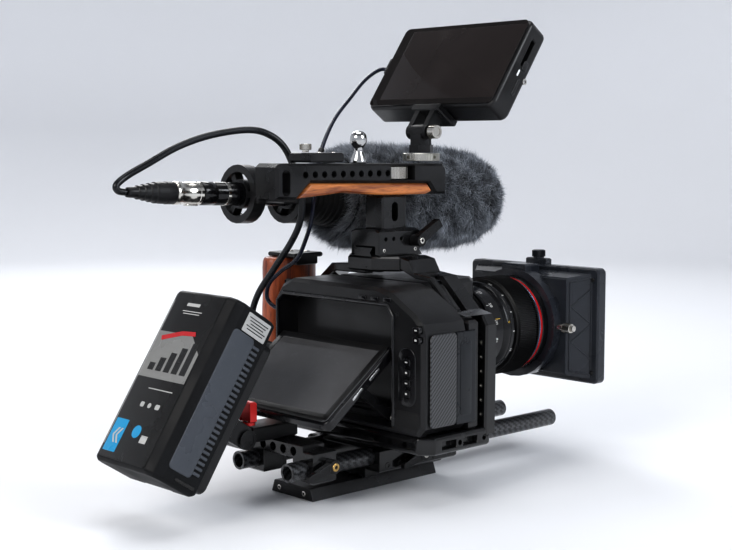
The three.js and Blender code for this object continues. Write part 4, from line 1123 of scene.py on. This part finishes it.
turn_about(quick_shaft, Matrix.Translation((0, 0.054, 0)) @ Matrix.Rotation(math.pi / 2, 4, "X"))
settle(join_all([quick_knob, quick_shaft], "quick_plate_thumb_screw"), nickel, "quick_plate_screw",
       "bright_metal", "quick_plate_screw")
screws("quick_plate_bolts", "camera", nickel, 0.0019, "z", [(-8.5, 32, 273), (8.5, 32, 273)], 0.0008)

clamp = broken_edges("nato_clamp", 0.0009, 24)
settle(clamp, gloss, "camera", "black_anodised", "nato_clamp")
lever = broken_edges("nato_lever", 0.0012, 24, 3)
settle(lever, satin, "nato_lever", "satin_alloy", "nato_lever")
screws("nato_lever_screw", "nato_lever", nickel, 0.0026, "-x", [(-27, -50, 200)], 0.0012)
screws("post_bolts", "camera", nickel, 0.0017, "-x", [(-16.9, y, 192.6) for y in (-52, -16)], 0.0008)

# ---- Field monitor and its swivel ------------------------------------------------------------------
# A five-inch panel in a moulded case, on a tilting bracket over a steel lock wheel with pin holes.
# The case has a small door, a key, a jack and a status light on its right, four keys on top, and
# vents and a railed back plate behind.

wheel_steel = surface("wheel_steel", (0.55, 0.54, 0.5), (0.3, 0.29, 0.26), 0.3, 1.0, grain=2600)
locking = knurled_knob("lock_wheel_made", 0.0157, 0.0033, 64, 0.0006)
locking.data.transform(Matrix.Translation((0, -0.076, 0.26865)))
drilled(locking, [((15.7 * math.cos(a), -76 + 15.7 * math.sin(a), 268.7), "x", 1.5, 3)
                  for a in (0, math.pi)]
        + [((0, -60.3, 268.7), "y", 1.5, 3), ((0, -91.7, 268.7), "y", 1.5, 3)])
settle(locking, wheel_steel, "lock_wheel", "bright_metal", "lock_wheel")
swivel = broken_edges("swivel_base", 0.0006, 24)
settle(swivel, satin, "swivel", "satin_alloy", "swivel_base")
bracket = broken_edges("tilt_bracket", 0.0006, 24)
settle(bracket, satin, "monitor", "bright_metal", "tilt_bracket")
MONITOR = Matrix.Translation((0, -0.075, 0.290)) @ Matrix.Rotation(math.radians(35.2), 4, "X")
tilt_knob = put(knurled_knob("tilt_knob", 0.0058, 0.0036, 28, 0.0005, 0.0006), (-16.4, 0, 0), "-x")
turn_about(tilt_knob, MONITOR)
settle(tilt_knob, nickel, "monitor", "bright_metal")

case = broken_edges("monitor_case", 0.0014, 24, 3)
settle(case, moulded, "monitor", "black_plastic", "monitor_case")
panel = glossy_glass("monitor_panel", (0.0095, 0.0080, 0.0078), 0)
settle(broken_edges("monitor_glass", 0.0002), panel, "monitor", "glass", "monitor_glass")
dark_panel = glossy_glass("lit_area", (0.018, 0.0145, 0.014), 0)
active = rounded_slab("monitor_active_area", (0, 0, 0), (134, 76, 0.12), 1.5, 0.04, "y")
turn_about(active, MONITOR @ Matrix.Translation((0, 0.00302, 0.0705)))
settle(active, dark_panel, "monitor", "glass")
back_plate = rounded_slab("monitor_back_plate", (0, -23.1, 70), (74, 46, 2.6), 3, 0.8, "-y")
rails = [rounded_slab("rail", (x, -24.6, 70), (3, 40, 2.2), 1, 0.5, "-y") for x in (-20, 20)]
ridges = [rounded_slab("vent", (x, -22.3, z), (22, 1.6, 1.2), 0.7, 0.4, "-y") for x in (-54, 54)
          for z in (46, 50, 54, 58, 62, 66, 70, 74, 78, 82, 86, 90)]
backs = turn_about(join_all([back_plate] + rails + ridges, "monitor_back"), MONITOR)
settle(backs, moulded, "monitor", "black_plastic")
side_bits = [rounded_slab("door", (-74.7, -8, 71), (5.5, 9, 0.8), 1.2, 0.3, "-x"),
             rounded_slab("key", (-74.7, -8, 50), (3.4, 16, 1.2), 1.6, 0.4, "-x")]
side_bits += [rounded_slab("key", (-40 + 14 * i, -9, 115.4), (9, 4.5, 1.2), 1.8, 0.4, "z") for i in range(4)]
settle(turn_about(join_all(side_bits, "monitor_keys"), MONITOR), smooth_black, "monitor", "black_plastic")
light_mark = rounded_slab("monitor_light", (-74.75, -4, 62), (1.6, 6, 0.5), 0.7, 0.15, "-x")
lit = surface("status_light", (0.85, 0.87, 0.9), (0.6, 0.62, 0.66), 0.3, 0.0)
settle(turn_about(light_mark, MONITOR), lit, "monitor", "glass")
jack = turned("jack", [(1.3, 0), (2.4, 0), (2.6, 0.3), (2.6, 1.2), (1.3, 1.2)], (0, 0, 0), 24)
turn_about(jack, MONITOR @ Matrix.Translation((-0.0745, -0.014, 0.060))
           @ Matrix.Rotation(math.pi / 2, 4, "Z"))
settle(jack, nickel, "monitor", "bright_metal")

# ---- Microphone, shock mount and windshield --------------------------------------------------------
# A slim black tube held in two sprung rubber hoops on a bracket from the handle's left side. Its front
# is in a furry windshield: long dark pile on a tube cover, closed by a ribbed rubber collar.

mic_black = surface("mic_enamel", (0.005, 0.005, 0.006), (0.02, 0.02, 0.023), 0.26, 0.2, grain=1700)
mic_tube = turned("mic_tube", [(0, -30), (9.2, -30), (9.5, -29), (9.5, 40), (9.3, 40.4), (9.3, 41.2),
                               (9.5, 41.6), (9.5, 96), (9.2, 96.5), (9.2, 97.5), (9.5, 98), (9.5, 109.4),
                               (9.1, 110), (0, 110)],
                  (0, 0, 0), 48)
settle(turn_about(mic_tube, MIC_PLACE), mic_black, "camera", "black_plastic", "microphone")
mic_band = turned("mic_band", [(9.45, 84), (9.75, 84.1), (9.75, 86.9), (9.45, 87)], (0, 0, 0), 48)
settle(turn_about(mic_band, MIC_PLACE), nickel, "camera", "bright_metal")
mount = broken_edges("shock_mount", 0.0007, 24)
settle(mount, moulded, "camera", "black_plastic", "shock_mount")

collar_outline = [(9.9, 8), (19.4, 8), (20.2, 7)]
for ridge in range(7):
    y = 6 - ridge * 5
    wide = 20.4 + ridge * 1.1
    collar_outline += [(wide, y), (wide + 0.3, y - 3.2), (wide - 0.5, y - 3.8), (wide - 0.4, y - 4.6)]
collar_outline += [(29, -31), (9.9, -31)]
collar = turned("windshield_collar", collar_outline, (0, 0, 0), 64)
settle(turn_about(collar, MIC_PLACE), grip_rubber, "camera", "rubber")

pelt_outline = [(27, -30), (33, -34), (38, -48), (39.5, -70), (40, -110), (40, -165), (37.5, -195),
                (31, -214), (21, -225), (9, -230), (0, -231), (0, -120), (0, -31)]
pelt = turned("windshield_pelt", pelt_outline, (0, 0, 0), 64, 60)
turn_about(pelt, MIC_PLACE)

# The pile: single tapered hairs set at even spacing over the pelt, combed back and outwards in locks.


def pile(name, count, long, width, seed):
    rng = np.random.default_rng(seed)
    outline = np.array(pelt_outline[:-2]) / 1000
    step = np.diff(outline, axis=0)
    run = np.hypot(step[:, 0], step[:, 1])
    area = run * (outline[:-1, 0] + outline[1:, 0]) / 2
    band = rng.choice(len(run), count, p=area / area.sum())
    share = rng.random(count)
    at = outline[band] + share[:, None] * step[band]
    out2 = np.stack([-step[band][:, 1], step[band][:, 0]], 1) / run[band][:, None]
    turn = rng.random(count) * 2 * math.pi
    ring = np.stack([np.cos(turn), np.zeros(count), np.sin(turn)], 1)
    root = ring * at[:, :1] + np.array([0, 1, 0]) * at[:, 1:]
    outward = ring * out2[:, :1] + np.array([0, 1, 0]) * out2[:, 1:]
    lock = np.stack([np.sin(root[:, 1] * 210 + turn * 5), np.sin(root[:, 1] * 150 - turn * 7 + 2),
                     np.cos(root[:, 1] * 180 + turn * 9)], 1)
    lean = lock * 0.13 + rng.normal(0, 0.22, (count, 3)) + np.array([0, 0.42, -0.12])
    size = long * (0.65 + 0.5 * rng.random(count))[:, None]
    tip = root + (outward * 0.62 + lean * 0.75) * size
    bend = root + (outward * 0.50 + lean * 0.18) * size * 0.62
    flat = np.cross(tip - root, rng.normal(0, 1, (count, 3)))
    flat *= (width / 2) / np.linalg.norm(flat, axis=1)[:, None]
    verts = np.stack([root - flat, root + flat, bend + flat * 0.8, bend - flat * 0.8, tip], 1).reshape(-1, 3)
    base = np.arange(count)[:, None] * 5
    quads = base + np.array([0, 1, 2, 3])
    points = base + np.array([3, 2, 4])
    mesh = bpy.data.meshes.new(name)
    mesh.from_pydata(verts.tolist(), [], quads.tolist() + points.tolist())
    # Each hair's value runs from 0 at the root to 1 at the tip, times a random tone: painted shade that
    # darkens the pile towards its roots, where the hairs shadow one another.
    tone = mesh.attributes.new("pile_root_shade", "FLOAT", "POINT")
    shade_of = 0.75 + 0.5 * rng.random(count)
    height = np.array([0.0, 0.0, 0.55, 0.55, 1.0])
    tone.data.foreach_set("value", (shade_of[:, None] * height).reshape(-1).astype(np.float32))
    made = bpy.data.objects.new(name, mesh)
    bpy.context.collection.objects.link(made)
    only(made)
    bpy.ops.object.shade_smooth()
    return turn_about(made, MIC_PLACE)


fur = bpy.data.materials.new("dark_fur")
fur.use_nodes = True
new, link = fur.node_tree.nodes.new, fur.node_tree.links.new
shader = fur.node_tree.nodes["Principled BSDF"]
shader.inputs["Roughness"].default_value = 0.75
shader.inputs["Sheen Weight"].default_value = 0.25
shader.inputs["Sheen Roughness"].default_value = 0.4
tone = new("ShaderNodeAttribute")
tone.attribute_name = "pile_root_shade"
patch = new("ShaderNodeTexNoise")
patch.inputs["Scale"].default_value = 90
patch.inputs["Detail"].default_value = 3
place = new("ShaderNodeTexCoord")
link(place.outputs["Object"], patch.inputs["Vector"])
both = new("ShaderNodeMath")
both.operation = "MULTIPLY"
link(tone.outputs["Fac"], both.inputs[0])
link(patch.outputs["Fac"], both.inputs[1])
# Near black at the roots to pale at the tips: the painted root shade of the pile.
ramp = new("ShaderNodeValToRGB")
ramp.color_ramp.elements[0].color = (0.010, 0.0105, 0.012, 1)
ramp.color_ramp.elements[1].position = 0.55
ramp.color_ramp.elements[1].color = (0.62, 0.66, 0.72, 1)
middle = ramp.color_ramp.elements.new(0.3)
middle.color = (0.21, 0.225, 0.25, 1)
link(both.outputs[0], ramp.inputs["Fac"])
link(ramp.outputs["Color"], shader.inputs["Base Color"])

pelt_cloth = surface("pelt_cloth", (0.02, 0.021, 0.024), (0.05, 0.052, 0.058), 0.85, 0.0, grain=900,
                     depth=0.0005, strength=1.0)
settle(pelt, pelt_cloth, "camera", "fur", "windshield")
for name, seed in (("windshield_pile_a", 3), ("windshield_pile_b", 5), ("windshield_pile_c", 8)):
    settle(pile(name, 42000, 0.0125, 0.00042, seed), fur, "camera", "fur")

# ---- Side handle -----------------------------------------------------------------------------------
# A turned and shaped red-brown hardwood grip on the left of the cage, hung from an alloy bracket that
# two cap screws hold.

side_grip = broken_edges("side_handle_wood", 0.001, 40, 2)
smoother = side_grip.modifiers.new("smoother", "SUBSURF")
smoother.levels = smoother.render_levels = 1
done(side_grip, 60)
settle(side_grip, wood("red_hardwood", (0.40, 0.085, 0.022), (0.13, 0.022, 0.008), (1, 1, 0.09), 24),
       "camera", "dark_wood", "side_handle_wood")
side_bracket = broken_edges("side_handle_bracket", 0.0008)
settle(side_bracket, satin, "camera", "satin_alloy", "side_handle_bracket")
screws("side_bracket_screws", "camera", nickel, 0.0033, "z", [(105, -18, 185.5), (90, -24, 185.5)], 0.0022)

# ---- Battery on its tilting plate ------------------------------------------------------------------
# A wedge-lock battery pack of black plastic with a printed label and a slate side grip with a comb of
# ribs. It slides onto a plate that tilts on an alloy arm; a red wing lever locks the arm.

settle(broken_edges("battery_arm", 0.0008), satin, "camera", "satin_alloy", "battery_arm")
wing = broken_edges("red_wing_lever", 0.0009, 24, 3)
settle(wing, red_metal, "red_wing_lever", "red_alloy", "red_wing_lever")
wing_disc = turned("wing_disc", [(0, 64.0), (4.6, 64.0), (5.0, 64.4), (5.0, 65.2), (0, 65.4)], (0, 0, 0), 32)
turn_about(wing_disc, Matrix.Translation((0.011, 0.105, 0)) @ Matrix.Rotation(math.pi / 2, 4, "X"))
settle(wing_disc, nickel, "red_wing_lever", "bright_metal")
plate_made = broken_edges("battery_plate", 0.0009)
settle(plate_made, moulded, "battery_mount", "black_plastic", "battery_plate")
BATTERY = Matrix.Translation((0.008, 0.116, 0.053)) @ Matrix.Rotation(math.radians(33.1), 4, "X")
rosette = put(knurled_knob("tilt_rosette", 0.0078, 0.0012, 30, 0.0007, 0.0005), (-10.2, 0, 0), "-x")
settle(turn_about(rosette, BATTERY), satin, "battery_mount", "satin_alloy")
bolts = [put(cap_screw(Vector((0, 0, 0)), "z", 0.0026, 0.0014), (-9.1, v, w), "-x")
         for v, w in ((18, -4), (28, 7))]
settle(turn_about(join_all(bolts, "plate_bolts"), BATTERY), nickel, "battery_mount", "bright_metal")

pack = broken_edges("battery_pack", 0.0015, 24, 3)
pack_plastic = surface("pack_plastic", (0.006, 0.0062, 0.007), (0.017, 0.018, 0.02), 0.52, 0.0, grain=2400,
                       depth=0.00008)
pack_plastic.node_tree.nodes["Principled BSDF"].inputs["Specular IOR Level"].default_value = 0.14
settle(pack, pack_plastic, "battery", "black_plastic", "battery_pack")
label_black = surface("label_film", (0.008, 0.0076, 0.0074), (0.02, 0.02, 0.02), 0.28, 0.0, grain=260,
                      depth=0.00004, coat=0.15)


def on_face(pieces, name, material, slot):
    return settle(turn_about(join_all(pieces, name), BATTERY), material, "battery", slot)


def face_slab(u, w, width, height, corner=0.6, lift=0.25, v=90.5):
    """A thin printed patch on the battery's label face, at its place across and up the face."""
    return rounded_slab("patch", (u, v + lift / 2 - 0.05, w), (width, height, lift), corner, 0.05, "y")


on_face([face_slab(0, 8.5, 59, 137, 2.5, 0.3)], "battery_label", label_black, "black_plastic")
ink_grey = surface("ink_grey", (0.20, 0.20, 0.195), (0.28, 0.28, 0.27), 0.35, 0.0, grain=400)
ink_white = surface("ink_white", (0.45, 0.45, 0.44), (0.30, 0.30, 0.29), 0.4, 0.0, grain=400)
ink_red = surface("ink_red", (0.42, 0.02, 0.025), (0.5, 0.06, 0.05), 0.35, 0.0, grain=400)
ink_blue = surface("ink_blue", (0.02, 0.27, 0.50), (0.05, 0.35, 0.58), 0.35, 0.0, grain=400)


def patch_outline(corners, lift=0.35, v=90.5):
    """A patch of any outline on the label face, from its corners across and up the face, in mm."""
    bpy.ops.object.select_all(action="DESELECT")
    bpy.ops.mesh.primitive_circle_add(vertices=len(corners), radius=0.01, fill_type="NGON")
    made = bpy.context.object
    for vertex, (u, w) in zip(made.data.vertices, corners):
        vertex.co = (u / 1000, (v + 0.1) / 1000, w / 1000)
    edit(made)
    bpy.ops.mesh.select_all(action="SELECT")
    bpy.ops.mesh.extrude_region_move(TRANSFORM_OT_translate={"value": (0, (lift - 0.1) / 1000, 0)})
    bpy.ops.mesh.select_all(action="SELECT")
    bpy.ops.mesh.normals_make_consistent(inside=False)
    return done(made)


on_face([patch_outline([(29, 44), (-12, 44), (-29, 30), (-29, 6), (29, 6), (29, 14)], 0.32)],
        "label_grey_patch", ink_grey, "black_plastic")
bars = []
for i in range(5):
    left, right, top = 22 - 10 * i, 15 - 10 * i, 18 + 5 * i
    bars.append(patch_outline([(left, 12), (right, 12), (right, top), (left, top)], 0.42))
on_face(bars, "label_charge_bars", label_black, "black_plastic")
on_face([patch_outline([(24, 40), (2, 46), (-14, 47), (-16, 43.5), (0, 42.5), (22, 36.5)], 0.45)],
        "label_red_swoosh", ink_red, "red_alloy")
WHITE_PRINT = (  # each patch's place across and up the face, width, height and corner, mm
    (4, 68, 16, 2.6, 0.6), (2, 62.5, 24, 0.7, 0.3), (2, 60.5, 20, 0.7, 0.3), (-6, -2, 30, 0.8, 0.3),
    (-12, -15, 5.4, 4, 1.2), (-2, -15, 4.2, 4, 2), (7, -15, 4.6, 4, 1.2), (-14, -38, 8, 0.8, 0.3),
    (-14, -41, 8, 5, 0.6), (29.2, 10, 0.5, 120, 0.2),
)
on_face([face_slab(*patch, 0.4) for patch in WHITE_PRINT], "label_white_print", ink_white, "bright_metal")
on_face([face_slab(20, -42, 15.5, 26, 0.8, 0.4)], "label_blue_panel", ink_blue, "slate")
on_face([face_slab(-2, -36, 10, 10, 4.9, 0.4)], "label_blue_badge", ink_blue, "slate")
chevrons = [patch_outline([(16 + 4 * i, -48), (20 + 4 * i, -42), (16 + 4 * i, -36), (14 + 4 * i, -36),
                           (18 + 4 * i, -42), (14 + 4 * i, -48)], 0.5) for i in range(2)]
on_face(chevrons, "label_chevrons", ink_white, "bright_metal")

side_panel = rounded_slab("side_panel", (-40.3, 69, 4), (22, 112, 1.2), 3.5, 0.5, "-x")
on_face([side_panel], "battery_side_grip", slate, "slate")
for name, x, thick, axis in (("battery_side_comb", -40.5, 1.6, "-x"),
                             ("battery_left_comb", 40.3, 1.2, "x")):
    comb = [rounded_slab("tooth", (x, 54.8, 55 - 4.25 * i), (7.0, 2.3, thick), 0.7, 0.4, axis)
            for i in range(25)]
    on_face(comb, name, slate, "slate")
notes = rounded_slab("note", (-40.35, 62, 68.5), (24, 15, 0.5), 0.8, 0.1, "-x")
on_face([notes], "battery_note", ink_white, "bright_metal")
lines = [rounded_slab("line", (-40.65, 62, 73 - 2.2 * i), (20 - 3 * (i % 3), 0.7, 0.3), 0.2, 0.05, "-x")
         for i in range(5)]
on_face(lines, "battery_note_lines", label_black, "black_plastic")
groove = rounded_slab("groove", (-40.3, 60, -57), (20, 2.4, 0.6), 1.1, 0.2, "-x")
on_face([groove], "battery_side_slot", label_black, "black_plastic")
